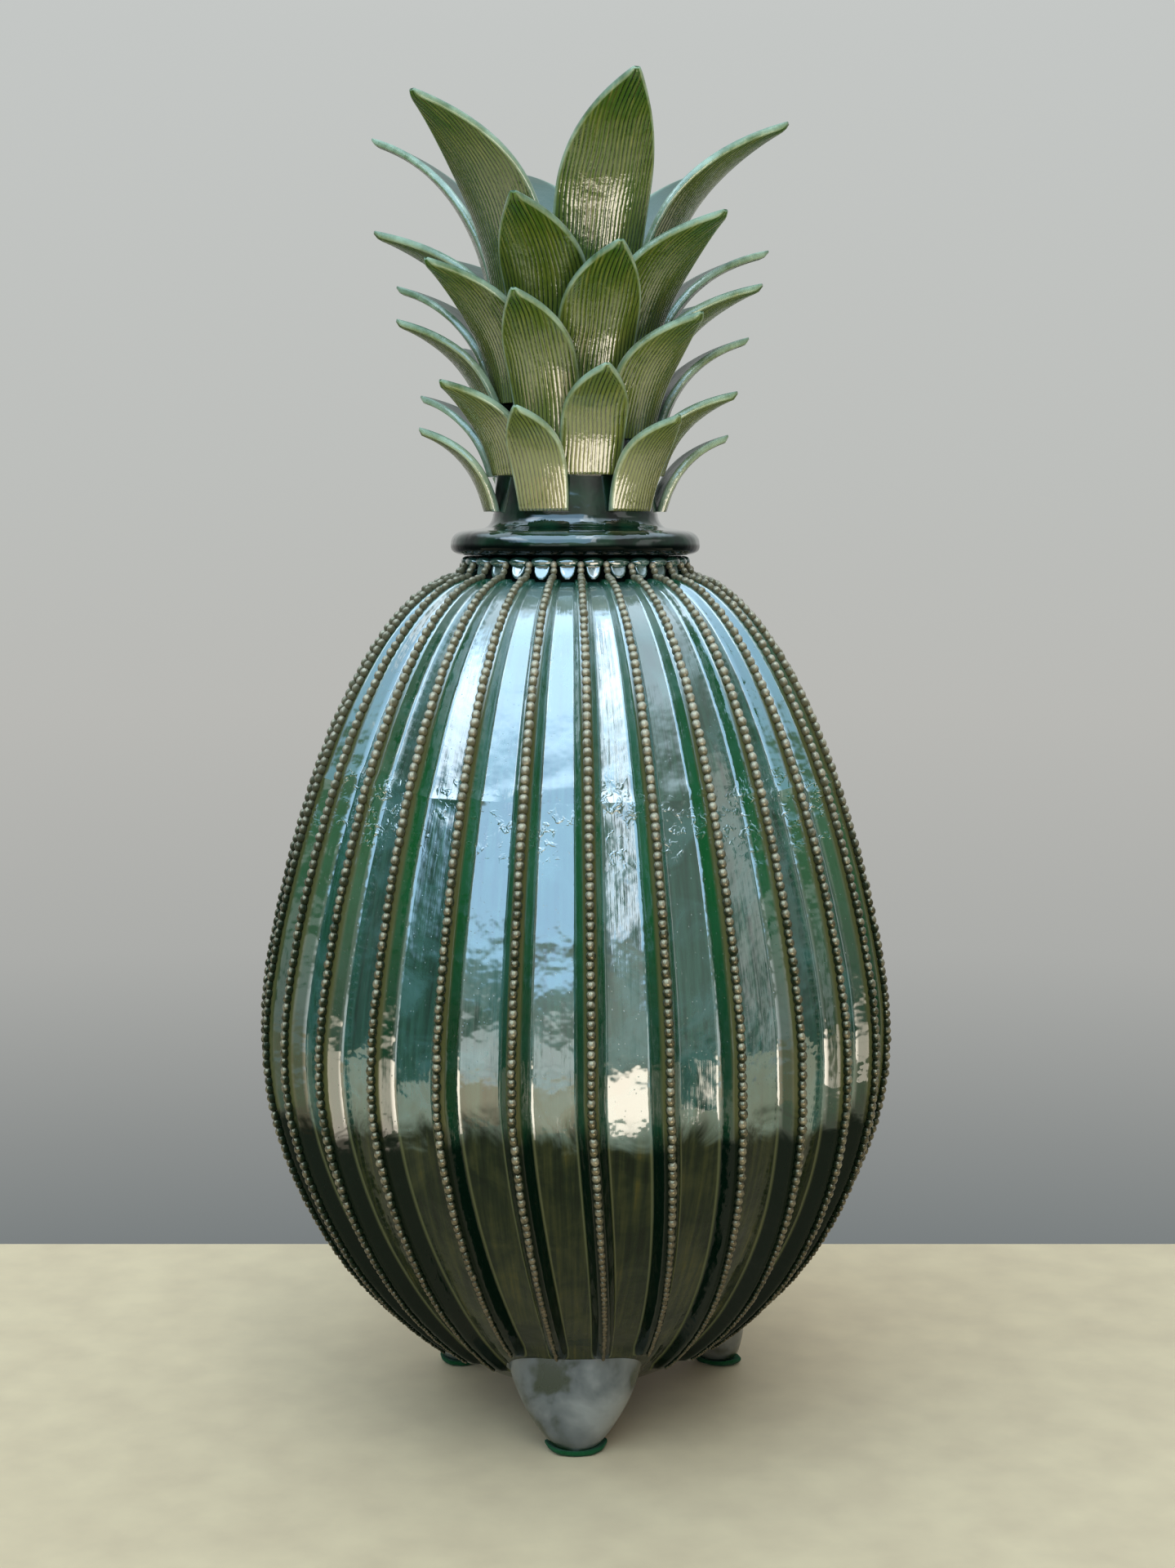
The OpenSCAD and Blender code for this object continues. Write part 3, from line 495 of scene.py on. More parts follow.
# Rings at even steps along the outline from fromZ to toZ: height, radius, outward direction and length so far
def outline(fromZ, toZ):
    edge = np.linspace(0, 1, body["outlineSteps"])
    z = fromZ + (toZ - fromZ) * (1 - np.cos(edge * math.pi)) / 2
    r = bodyR(z)
    run = np.concatenate([[0], np.cumsum(np.hypot(np.diff(z), np.diff(r)))])
    even = np.linspace(0, run[-1], int(run[-1] / body["ringGap"]) + 1)
    ringZ, ringR = np.interp(even, run, z), np.interp(even, run, r)
    slopeR, slopeZ = np.gradient(ringR, even), np.gradient(ringZ, even)
    length = np.hypot(slopeR, slopeZ)
    return ringZ, ringR, slopeZ / length, -slopeR / length, even


def ridgeDrift(z):
    share = np.maximum(0, body["bellyZ"] - z) / (body["bellyZ"] - body["ridgeEnd"])
    return math.radians(body["drift"]) * share ** body["driftCurve"]


def ridgeTurn(k):
    return math.radians(body["firstTurn"]) + k * 2 * math.pi / body["flutes"]


# A ridge runs out higher up where it comes down on a foot
def ridgeEnds(k):
    reach = math.asin(foot["topWide"] / 2 / bodyR(foot["luteZ"])) + math.pi / body["flutes"]
    turn = ridgeTurn(k) + math.radians(body["drift"])
    over = any(abs((turn - math.radians(a) + math.pi) % (2 * math.pi) - math.pi) < reach for a in foot["turns"])
    return body["ridgeEndOverFoot"] if over else body["ridgeEnd"]


def ridgeRise(k, z, r):
    fade = np.clip((z - ridgeEnds(k) + body["ridgeFade"]) / body["ridgeFade"], 0, 1)
    grown = np.minimum(1, body["riseAtNeck"] + (1 - body["riseAtNeck"]) * (r - body["neckR"]) / body["riseOver"])
    return body["ridgeRise"] * grown * fade * fade * (3 - 2 * fade)


def ridgeWidth(r):
    return np.minimum(body["ridgeWide"], body["ridgeShare"] * 2 * math.pi * r / body["flutes"])


# Smooth blank of one half, with what the flutes need kept on its points
def bodyBlank(name, fromZ, toZ, openBelow):
    z, r, outR, outZ, run = outline(fromZ, toZ)
    flutes, pitch = body["flutes"], 2 * math.pi / body["flutes"]
    crestSteps, fall = body["crestSteps"], body["crestFall"]
    wallSteps, panelSteps = np.linspace(0, 1, body["wallSteps"])[1:-1], np.linspace(-1, 1, body["panelSteps"])
    # one flute round: half a crest, a wall, the panel, and the same back to the next crest
    crest = (ridgeWidth(r) / r / 2)[:, None]
    panel = body["panelShare"] * (pitch - 2 * crest) / 2
    right = [crest * c for c in crestSteps] + [crest + (pitch / 2 - panel - crest) * s for s in wallSteps]
    middle = [pitch / 2 + panel * p for p in panelSteps]
    left = [pitch - a for a in right[:0:-1]]
    turn = np.concatenate(right + middle + left, axis=1)
    level = np.ones_like(crest)
    flat = np.concatenate([level] * len(right) + [np.cos(panel) / np.cos(panel * p) for p in panelSteps] + [level] * len(left), axis=1)
    down = [fall * c for c in crestSteps] + [fall + (1 - fall) * w for w in wallSteps]
    slope = np.array(down + [1] * len(panelSteps) + down[:0:-1])
    near = np.arange(len(slope)) < len(slope) / 2
    turns, rises = [], []
    for k in range(flutes):
        turns.append(turn + ridgeTurn(k) + ridgeDrift(z)[:, None])
        rises.append(np.where(near[None, :], ridgeRise(k, z, r)[:, None], ridgeRise((k + 1) % flutes, z, r)[:, None]))
    turns, rises = np.concatenate(turns, axis=1), np.concatenate(rises, axis=1)
    flat, slope = np.tile(flat, (1, flutes)), np.tile(slope, flutes)[None, :] + 0 * turns
    outer = turned(0 * turns, r[:, None] * flat * mm, z[:, None] * mm + 0 * turns, turns)
    outward = turned(0 * turns, outR[:, None] + 0 * turns, outZ[:, None] + 0 * turns, turns)
    # inner face, from the top edge down
    pick = np.linspace(len(z) - 1, 0 if openBelow else 1, body["innerRings"]).astype(int)
    innerZ, innerR = z[pick] - body["wall"] * outZ[pick], r[pick] - body["wall"] * outR[pick]
    innerZ[0] = z[-1]
    if openBelow:
        innerZ[-1] = z[0]
    none = 0 * turns[pick]
    inner = turned(none, np.maximum(innerR, 1)[:, None] * mm + none, innerZ[:, None] * mm + none, turns[pick])
    rings = np.concatenate([outer, inner])
    fields = {"slope": np.concatenate([slope, none + 1]), "rise": np.concatenate([rises * mm, none]),
              "outward": np.concatenate([outward, outward[pick]]), "outside": np.concatenate([slope * 0 + 1, none])}
    length = np.concatenate([run, run[-1] + np.linspace(0, run[-1], len(pick))])
    everyTurn = np.concatenate([turns, turns[:, :1] + 2 * math.pi], axis=1)
    everyTurn = np.concatenate([everyTurn, everyTurn[pick]])
    mapped = np.stack([everyTurn * body["bellyR"] * mm, (length[:, None] + fromZ) * mm + 0 * everyTurn], axis=-1)
    if openBelow:
        mapped = np.concatenate([mapped, mapped[:1]])
        return skinRings(name, rings, fields, mapped, loop=True, sharpAngle=body["sharpAngle"])
    ends = ((0, 0, z[0] * mm), (0, 0, innerZ[-1] * mm))
    return skinRings(name, rings, fields, mapped, poles=ends, sharpAngle=body["sharpAngle"])


# Presses the ridges out of a blank, then lets the glaze lie uneven and the joint of the halves show through it
def pressTree():
    ridgeCurve = ((0, 1), (0.1, 0.97), (0.2, 0.87), (0.5, 0.44), (0.8, 0.06), (0.9, 0.012), (1, 0))  # from crest to panel
    sizes = ("Ridge Rise", "Panel Depth", "Glaze Relief", "Relief Size", "Seam Height", "Seam Rise", "Seam Width", "Seam Wander")
    add, given, end = newTree("pressFlutes", {**{size: "Float" for size in sizes}, "Glaze": "Material"})
    slope, rise, outside = (add("GeometryNodeInputNamedAttribute", {"Name": name}, data_type="FLOAT")
                            for name in ("slope", "rise", "outside"))
    outward = add("GeometryNodeInputNamedAttribute", {"Name": "outward"}, data_type="FLOAT_VECTOR")
    place = add("GeometryNodeInputPosition")
    height = add("ShaderNodeSeparateXYZ", {0: place}, use="Z")
    ridge = add("ShaderNodeFloatCurve", {"Value": slope}, points=ridgeCurve)
    raised = add("ShaderNodeMath", {0: ridge, 1: rise}, operation="MULTIPLY")
    hollow = add("ShaderNodeMath", {0: raised, 1: rise}, operation="SUBTRACT")
    lift = add("ShaderNodeMath", {0: hollow, 1: given["Panel Depth"], 2: raised}, operation="MULTIPLY_ADD")
    scale = add("ShaderNodeMath", {0: 1.0, 1: given["Relief Size"]}, operation="DIVIDE")
    sized = add("ShaderNodeVectorMath", {0: place, "Scale": scale}, operation="SCALE")
    noise = add("ShaderNodeTexNoise", {"Vector": sized, "Scale": 1.0, "Detail": 2.0})
    swell = add("ShaderNodeMath", {0: noise, 1: 0.5}, operation="SUBTRACT")
    uneven = add("ShaderNodeMath", {0: swell, 1: given["Glaze Relief"]}, operation="MULTIPLY")
    wander = add("ShaderNodeMath", {0: swell, 1: given["Seam Wander"], 2: given["Seam Height"]}, operation="MULTIPLY_ADD")
    over = add("ShaderNodeMath", {0: height, 1: wander}, operation="SUBTRACT")
    away = add("ShaderNodeMath", {0: over}, operation="ABSOLUTE")
    smear = add("ShaderNodeMapRange", {0: away, 1: given["Seam Width"], 2: 0.0}, interpolation_type="SMOOTHSTEP")
    seam = add("ShaderNodeMath", {0: smear, 1: given["Seam Rise"], 2: uneven}, operation="MULTIPLY_ADD")
    shown = add("ShaderNodeMath", {0: seam, 1: outside, 2: lift}, operation="MULTIPLY_ADD")
    offset = add("ShaderNodeVectorMath", {0: outward, "Scale": shown}, operation="SCALE")
    pressed = add("GeometryNodeSetPosition", {"Geometry": given["Geometry"], "Offset": offset})
    share = add("ShaderNodeMath", {0: raised, 1: given["Ridge Rise"]}, operation="DIVIDE", use_clamp=True)
    kept = {"Geometry": pressed, "Name": "ridge", "Value": share}
    marked = add("GeometryNodeStoreNamedAttribute", kept, data_type="FLOAT", domain="POINT")
    return endTree(add, marked, given["Glaze"], end)


pressFlutes = pressTree()
relief = {"Ridge Rise": body["ridgeRise"] * mm, "Panel Depth": 0.5, "Glaze Relief": 0.5 * mm, "Relief Size": 28 * mm,
          "Seam Height": body["seamZ"] * mm, "Seam Rise": 0.9 * mm, "Seam Width": 4.5 * mm, "Seam Wander": 40 * mm, "Glaze": glassyGlaze}
for name, fromZ, toZ, openBelow, node in (("bodyLower", body["baseZ"], body["seamZ"], False, "body_lower_shell"),
                                          ("bodyUpper", body["seamZ"], body["topZ"], True, "body_upper_shell")):
    finishPiece(grow(bodyBlank(name, fromZ, toZ, openBelow), pressFlutes, relief), "jar", "body_glaze", node)
print("body pressed")

# Beads laid on the ridges, one string for each, smaller toward the neck and the foot
beads = {"size": 4.5, "gap": 0.95, "neckGap": 0.84, "neckShare": 0.76, "neckOver": 70.0, "footShare": 0.36, "footCurve": 1.6,
         "footFrom": 160.0, "footTo": 48.0, "sunk": 0.26, "shift": 0.2, "startIn": 1.0, "endIn": 0.3, "topZ": 420.0, "topR": 55.0,
         "splitZ": 220.0, "least": (0.9, 1.06, 0.9), "most": (1.02, 1.22, 1.04), "litSide": (-0.15, 0.5, 0.85), "seed": 11}


def beadSize(r, z):
    share = np.clip((r - body["neckR"]) / beads["neckOver"], 0, 1)
    low = np.clip((beads["footFrom"] - z) / (beads["footFrom"] - beads["footTo"]), 0, 1)
    upper = beads["neckShare"] + (1 - beads["neckShare"]) * share * (2 - share)
    return beads["size"] * np.where(z > body["bellyZ"], upper, 1 - (1 - beads["footShare"]) * low ** beads["footCurve"])


# The line that the beads of string k lie on, from its end to the collar, then one point for each bead
def stringPoints(k):
    z, r, outR, outZ, _ = outline(ridgeEnds(k) + beads["startIn"], body["topZ"] - beads["endIn"])
    out = ridgeRise(k, z, r) + beadSize(r, z) * (0.5 - beads["sunk"])
    path = np.stack([r + outR * out, z + outZ * out, outR, outZ, ridgeTurn(k) + ridgeDrift(z)], axis=1)
    path = np.concatenate([path, [[beads["topR"], beads["topZ"], 1, 0, path[-1, 4]]]])
    steps = np.concatenate([[0], np.cumsum(np.hypot(np.diff(path[:, 0]), np.diff(path[:, 1])))])
    shares, gaps = (beads["neckShare"], 1), (beads["neckGap"], beads["gap"])
    places, at = [], 0.0
    while at < steps[-1]:
        places.append(at)
        beadR, beadZ = (np.interp(at, steps, path[:, i]) for i in range(2))
        size = beadSize(beadR, beadZ)
        at += size * (np.interp(size / beads["size"], shares, gaps) if beadZ > body["bellyZ"] else beads["gap"])
    return np.stack([np.interp(places, steps, path[:, i]) for i in range(5)], axis=1)


# Lays a bead on each point, a little out of line and out of round, and keeps how far each spot of it faces up and out,
# which the clay paints lighter as painted light
def beadTree():
    add, given, end = newTree("layBeads", {"Shift": "Float", "Seed": "Int", "Clay": "Material"})
    outward = add("GeometryNodeInputNamedAttribute", {"Name": "outward"}, data_type="FLOAT_VECTOR")
    size = add("GeometryNodeInputNamedAttribute", {"Name": "size"}, data_type="FLOAT")
    anyWay = {"Min": (-1, -1, -1), "Max": (1, 1, 1), "Seed": given["Seed"]}
    stray = add("FunctionNodeRandomValue", anyWay, data_type="FLOAT_VECTOR")
    offset = add("ShaderNodeVectorMath", {0: stray, "Scale": given["Shift"]}, operation="SCALE")
    strayed = add("GeometryNodeSetPosition", {"Geometry": given["Geometry"], "Offset": offset})
    ball = add("GeometryNodeMeshIcoSphere", {"Radius": 0.5, "Subdivisions": 2})
    rounded = add("GeometryNodeSetShadeSmooth", {"Geometry": ball})
    place = add("GeometryNodeInputPosition")
    # the upper outer side of each bead is marked as its lit side, which the clay paints lighter: painted light
    up = add("ShaderNodeVectorMath", {0: place, 1: beads["litSide"]}, use="Value", operation="DOT_PRODUCT")
    lift = add("ShaderNodeMath", {0: up, 1: 0.5}, operation="ADD")
    sideLit = {"Geometry": rounded, "Name": "lift", "Value": lift}
    bead = add("GeometryNodeStoreNamedAttribute", sideLit, data_type="FLOAT", domain="POINT")
    rolled = {"Min": beads["least"], "Max": beads["most"], "Seed": given["Seed"]}
    spread = add("FunctionNodeRandomValue", rolled, data_type="FLOAT_VECTOR")
    scale = add("ShaderNodeVectorMath", {0: spread, "Scale": size}, operation="SCALE")
    faced = add("FunctionNodeAlignRotationToVector", {"Vector": outward}, axis="Z")
    upright = add("FunctionNodeAlignRotationToVector", {"Rotation": faced, "Vector": (0, 0, 1)}, axis="Y", pivot_axis="Z")
    laid = add("GeometryNodeInstanceOnPoints", {"Points": strayed, "Instance": bead, "Rotation": upright, "Scale": scale})
    tint = add("FunctionNodeRandomValue", {"Seed": given["Seed"]}, use=1, data_type="FLOAT")
    toned = {"Geometry": laid, "Name": "tint", "Value": tint}
    tinted = add("GeometryNodeStoreNamedAttribute", toned, data_type="FLOAT", domain="INSTANCE")
    return endTree(add, tinted, given["Clay"], end)


layBeads = beadTree()
strewn = {"Shift": beads["shift"] * mm, "Seed": beads["seed"], "Clay": beadClay}
everyBead = np.concatenate([stringPoints(k) for k in range(body["flutes"])])
isLow = everyBead[:, 1] < beads["splitZ"]
for name, chosen in (("beadsLower", isLow), ("beadsUpper", ~isLow)):
    r, z, outR, outZ, turn = everyBead[chosen].T
    fields = {"outward": turned(0 * turn, outR, outZ, turn), "size": beadSize(r, z) * mm}
    strung = newPiece(name, turned(0 * turn, r * mm, z * mm, turn), [], fields)
    finishPiece(grow(strung, layBeads, strewn), "jar", "bead_clay", "bead_strings")
print(len(everyBead), "beads laid")

# Collar, with a pressed boss and a drawn-down tongue over each flute
collar = {"r": 53.0, "mouthR": 45.0, "lowZ": 404.0, "topZ": 424.0, "lip": 1.5, "lipSteps": 6, "uneven": 0.0008,
          "bossWide": 11.8, "bossHigh": 5.2, "bossRise": 3.4, "bossZ": 421.2, "bossSteps": (1, 0.92, 0.7, 0.38),
          "tongueWide": 7.6, "tongueHigh": 6.0, "tongueZ": 419.2, "tongueRise": 1.1, "tongueLean": 2.4, "tongueRoot": 0.25,
          "tongueSteps": (1, 0.96, 0.86, 0.7, 0.4), "tongueSwell": (0, 0.8, 1, 0.8, 0.7),
          "around": 14, "sunk": 3.5, "sharpAngle": 70, "least": (0.9, 0.88, 0.85), "most": (1.06, 1.06, 1.05), "seed": 5}
arc = np.linspace(0, math.pi / 2, collar["lipSteps"])
acrossLip, upLip = collar["lip"] * (1 - np.cos(arc)), collar["lip"] * (1 - np.sin(arc))
outerLip = np.stack([collar["r"] - acrossLip, collar["topZ"] - upLip], axis=1)
innerLip = np.stack([collar["mouthR"] + upLip, collar["topZ"] - acrossLip], axis=1)
collarFoot = [[collar["mouthR"], collar["lowZ"]], [collar["r"], collar["lowZ"]]]
collarRing = turnOnWheel("neckCollar", np.concatenate([collarFoot, outerLip, innerLip]), uneven=collar["uneven"])
collarRing.data.materials.append(darkGlaze)
finishPiece(collarRing, "jar", "body_glaze", "neck_collar")


# Boss and tongue, facing +Z with +Y up: domes whose backs are sunk in the collar
def bossMould():
    turn = np.linspace(0, 2 * math.pi, collar["around"], endpoint=False)[None, :]
    share, lip, lipRise = (np.array(collar[key])[:, None] for key in ("bossSteps", "tongueSteps", "tongueSwell"))
    rise = np.sqrt(1 - share ** 2)
    lens = np.stack([collar["bossWide"] / 2 * share * np.cos(turn), collar["bossHigh"] / 2 * share * np.sin(turn),
                     collar["bossRise"] * rise + 0 * turn], axis=-1)
    drop = np.where(np.sin(turn) < 0, np.sin(turn), collar["tongueRoot"] * np.sin(turn))
    bib = np.stack([collar["tongueWide"] / 2 * lip * np.cos(turn), collar["tongueZ"] - collar["bossZ"] + collar["tongueHigh"] * lip * drop,
                    collar["tongueRise"] * lipRise - collar["tongueLean"] * lip * drop], axis=-1)
    points, faces = [], []
    for rings in (lens, bib):
        sunk = rings[:1] - np.array([0, 0, collar["sunk"]])
        rings = np.concatenate([sunk, rings])
        index = len(points) + np.arange(rings.shape[0] * rings.shape[1]).reshape(rings.shape[:2])
        points += rings.reshape(-1, 3).tolist()
        for low, high in zip(index[:-1], index[1:]):
            faces += np.stack([low, np.roll(low, -1), np.roll(high, -1), high], axis=1).tolist()
        faces += [index[-1].tolist(), index[0, ::-1].tolist()]
    return newPiece("bossMould", np.array(points) * mm, faces, sharpAngle=collar["sharpAngle"])


# Presses a boss on each point, no two quite the same size
def bossTree():
    add, given, end = newTree("pressBosses", {"Boss": "Object", "Seed": "Int", "Glaze": "Material"})
    outward = add("GeometryNodeInputNamedAttribute", {"Name": "outward"}, data_type="FLOAT_VECTOR")
    boss = add("GeometryNodeObjectInfo", {"Object": given["Boss"]}, use="Geometry")
    faced = add("FunctionNodeAlignRotationToVector", {"Vector": outward}, axis="Z")
    upright = add("FunctionNodeAlignRotationToVector", {"Rotation": faced, "Vector": (0, 0, 1)}, axis="Y", pivot_axis="Z")
    pressed = {"Min": collar["least"], "Max": collar["most"], "Seed": given["Seed"]}
    size = add("FunctionNodeRandomValue", pressed, data_type="FLOAT_VECTOR")
    seated = {"Points": given["Geometry"], "Instance": boss, "Rotation": upright, "Scale": size}
    return endTree(add, add("GeometryNodeInstanceOnPoints", seated), given["Glaze"], end)


between = np.array([ridgeTurn(k + 0.5) for k in range(body["flutes"])])
seats = turned(0 * between, collar["r"] * mm, collar["bossZ"] * mm, between)
mould = bossMould()
bosses = newPiece("collarScallops", seats, [], {"outward": turned(0 * between, 1, 0, between)})
finishPiece(grow(bosses, bossTree(), {"Boss": mould, "Seed": collar["seed"], "Glaze": glassyGlaze}), "jar", "body_glaze", "collar_scallops")
bpy.data.objects.remove(mould)
print("collar made")


# Feet, drawn out wide where they meet the belly
def footPiece(name, endOut, facing):
    rise = np.linspace(0, 1, foot["rings"])[:, None]
    turn = np.linspace(0, 2 * math.pi, foot["around"], endpoint=False)[None, :]
    grown = np.sin(rise * math.pi / 2) ** foot["full"]
    wide = foot["endWide"] + (foot["topWide"] - foot["endWide"]) * grown
    thick = foot["endThick"] + (foot["topThick"] - foot["endThick"]) * grown
    # round at the end, squarer toward the belly
    across, deep = ((1 - rise) * v + rise * (np.sign(v) * np.abs(v) ** foot["square"]) for v in (np.cos(turn), np.sin(turn)))
    sideways = wide / 2 * across
    out = endOut + (foot["topOut"] - endOut) * rise - thick / 2 * deep
    belly = undersideZ(np.hypot(sideways, out)) + foot["over"]
    height = np.minimum(foot["soleZ"] + (foot["topZ"] - foot["soleZ"]) * rise, belly)
    rings = turned(sideways * mm, out * mm, height * mm, facing + 0 * sideways)
    sole = turned(0.0, endOut * mm, foot["soleZ"] * mm, facing)
    top = turned(0.0, foot["topOut"] * mm, (undersideZ(foot["topOut"]) + foot["over"]) * mm, facing)
    return skinRings("foot" + name.title(), rings, poles=(sole, top), sharpAngle=foot["sharpAngle"])


for name, endOut, facing in zip(foot["names"], foot["out"], foot["turns"]):
    piece = footPiece(name, endOut, math.radians(facing))
    piece.data.materials.append(footGlaze)
    finishPiece(piece, "jar", "foot_glaze", "foot_" + name)
print("feet made")

# Felt pads, cut by hand, with edges that curl up round the feet
pad = {"wide": 31.0, "deep": 23.0, "thick": 2.5, "around": 72, "sharpAngle": 80,
       "share": (0.35, 0.7, 0.88, 0.97, 1.0, 1.0, 0.97, 0.88, 0.7, 0.35), "level": (0, 0, 0.02, 0.12, 0.35, 0.65, 0.88, 0.98, 1, 1),
       "ragged": 0.05, "cuts": ((3, 1.3, 2, 0.5), (5, 0.0, 1, 0.35), (11, 0.0, 3, 0.2)),  # waves, start, step from pad to pad, share
       "curl": 2.2, "curlFrom": 0.74, "curlOver": 0.26, "curlWave": (0.55, 0.45, 0.8), "curlSides": 0.5}


def feltPad(n, name, endOut, facing):
    turn = np.linspace(0, 2 * math.pi, pad["around"], endpoint=False)[None, :]
    share, level = (np.array(pad[key])[:, None] for key in ("share", "level"))
    wavy = sum(np.sin(waves * turn + start + step * n) * part for waves, start, step, part in pad["cuts"])
    cut = 1 + pad["ragged"] * wavy - pad["ragged"]
    mean, swing, start = pad["curlWave"]
    edge = np.clip((share - pad["curlFrom"]) / pad["curlOver"], 0, 1) ** 2
    ends = 1 - pad["curlSides"] + pad["curlSides"] * np.abs(np.cos(turn))
    curl = pad["curl"] * edge * (mean + swing * np.sin(2 * turn + start + n)) * ends
    sideways = pad["wide"] / 2 * mm * share * cut * np.cos(turn)
    out = (endOut - pad["deep"] / 2 * share * cut * np.sin(turn)) * mm
    rings = turned(sideways, out, (pad["thick"] * level + curl) * mm, facing + 0 * share * turn)
    middle = [turned(0.0, endOut * mm, height * mm, facing) for height in (0, pad["thick"])]
    return skinRings("feltPad" + name.title(), rings, poles=middle, sharpAngle=pad["sharpAngle"])


for n, name in enumerate(foot["names"]):
    piece = feltPad(n, name, foot["out"][n], math.radians(foot["turns"][n]))
    piece.data.materials.append(felt)
    finishPiece(piece, "jar", "felt", "felt_pad_" + name)
print("pads made")

# Lid: a dish with a fat round rim, its spigot, and the hollow stem that carries the crown
lid = {"z": 424.2, "rimD": 122.0, "rimThick": 12.0, "rimDeep": 9.0, "rimWidest": 4.6, "rimFull": 0.8, "rimSweep": (-90, 78, 28),
       "creaseR": 46.0, "creaseZ": 437.2, "flareSteps": 14, "flareFull": 0.8, "flareOver": 0.3, "around": 192, "uneven": 0.0012,
       "stemZ": 444.2, "stemR": 40.0, "stemTopR": 34.0, "stemHigh": 100.0, "stemSteps": 14,
       "dome": 9.0, "domeSweep": (0, 84, 12), "wall": 7.0,
       "spigotR": 43.5, "spigotHigh": 13.0, "spigotWall": 6.0, "spigotRound": ((1.6, 0.0), (0.8, 0.8), (0.3, 2.2)), "innerAround": 128}
sweep = np.radians(np.linspace(*lid["rimSweep"]))
rimHalf = np.where(sweep > 0, lid["rimThick"] - lid["rimWidest"], lid["rimWidest"])
rimUp = rimHalf * np.sign(sweep) * np.abs(np.sin(sweep)) ** lid["rimFull"]
rimOut = lid["rimD"] / 2 - lid["rimDeep"] + lid["rimDeep"] * np.cos(sweep) ** lid["rimFull"]
rim = np.stack([rimOut, lid["z"] + lid["rimWidest"] + rimUp], axis=1)
rise = np.linspace(0, 1, lid["flareSteps"])[:, None] * math.pi / 2
creased, flared = np.array([lid["creaseR"], lid["creaseZ"]]), np.array([lid["stemR"] + lid["flareOver"], lid["stemZ"]])
flare = creased + (flared - creased) * np.concatenate([np.sin(rise), 1 - np.cos(rise)], axis=1) ** lid["flareFull"]
holeR = lid["stemR"] - lid["wall"]
dishSection = np.concatenate([[[holeR, lid["z"]]], rim, flare, [[holeR, lid["stemZ"]]]])
dish = turnOnWheel("lidDish", dishSection, around=lid["around"], uneven=lid["uneven"])

spigotLow, spigotIn = lid["z"] - lid["spigotHigh"], lid["spigotR"] - lid["spigotWall"]
spigotEdge = [[lid["spigotR"] - inset, spigotLow + up] for inset, up in lid["spigotRound"]]
spigotSection = [[spigotIn, spigotLow]] + spigotEdge + [[lid["spigotR"], lid["z"]], [spigotIn, lid["z"]]]
spigot = turnOnWheel("lidSpigot", spigotSection, around=lid["innerAround"])

domeTurn = np.radians(np.linspace(*lid["domeSweep"]))
stemTop = lid["stemZ"] + lid["stemHigh"]
outerStem = [[lid["stemR"] + (lid["stemTopR"] - lid["stemR"]) * s, lid["stemZ"] + lid["stemHigh"] * s]
             for s in np.linspace(0, 1, lid["stemSteps"])]
outerDome, innerDome = (np.stack([(lid["stemTopR"] - under) * np.cos(domeTurn), stemTop - under + lid["dome"] * np.sin(domeTurn)], axis=1)
                        for under in (0, lid["wall"]))
stemSection = np.concatenate([innerDome[::-1], [[holeR, lid["stemZ"]]], outerStem, outerDome[1:]])
stemPoles = [(0, 0, (stemTop + lid["dome"] - under) * mm) for under in (lid["wall"], 0)]
stem = turnOnWheel("crownStem", stemSection, around=lid["innerAround"], loop=False, poles=stemPoles)
for piece, node in ((dish, "lid_dish"), (spigot, "lid_spigot"), (stem, "crown_stem")):
    piece.data.materials.append(darkGlaze)
    finishPiece(piece, "lid", "lid_glaze", node)
print("lid made")

# Crown: six tiers of combed leaves
leaf = {"tiers": 6, "leaves": 6, "turn": -21.0, "twist": 1.2, "firstZ": 1.0, "step": 17.0, "shortTiers": 2,
        "highShort": 41.0, "highMiddle": 55.0, "highGain": 4.5, "highLong": 98.0,
        "wide": 25.0, "wideGain": 3.6, "reach": 76.0, "reachGain": 5.4,
        "frontRise": 9.0, "rightDrop": 4.0, "vary": 1.5, "varyTurns": (97, 143), "seat": 0.3, "lean": 8.0, "bend": 0.8,
        "thick": 5.0, "thin": 0.3, "crown": 0.14, "behind": 0.4, "widest": 0.45, "footShare": 0.84,
        "tipShare": 0.06, "tipRound": 0.85, "tipFrom": 0.95, "tipOver": 0.05,
        "edgeThickShare": 0.3, "edgeWideShare": 0.5, "edgeOut": (0.6, 0.92, 1, 0.92, 0.6), "edgeLevel": (0.94, 0.76, 0.5, 0.24, 0.06),
        "edgeSkin": (0.9, 0.7, 0.5, 0.3, 0.1), "rimWide": 0.6, "rimShare": 0.8, "rimBack": 12, "combedFrom": 1.2,
        "row": 1.6, "rowSpare": 1.15, "column": 0.38, "backColumns": 13, "sharpAngle": 75,
        # how the comb ran: gap, depth and wander of the veins, how they fan, where a groove begins and where it is patchy
        "veinGap": 1.9, "veinDeep": 0.26, "veinWander": 8.0, "wanderSize": 1000 / 22, "patchSize": 1000 / 70,
        "veinFan": (-0.18, 1.09), "veinGroove": (0.22, 0.04), "veinPatchy": (0.3, 0.55, 0.6, 1.0), "seedStep": 7}


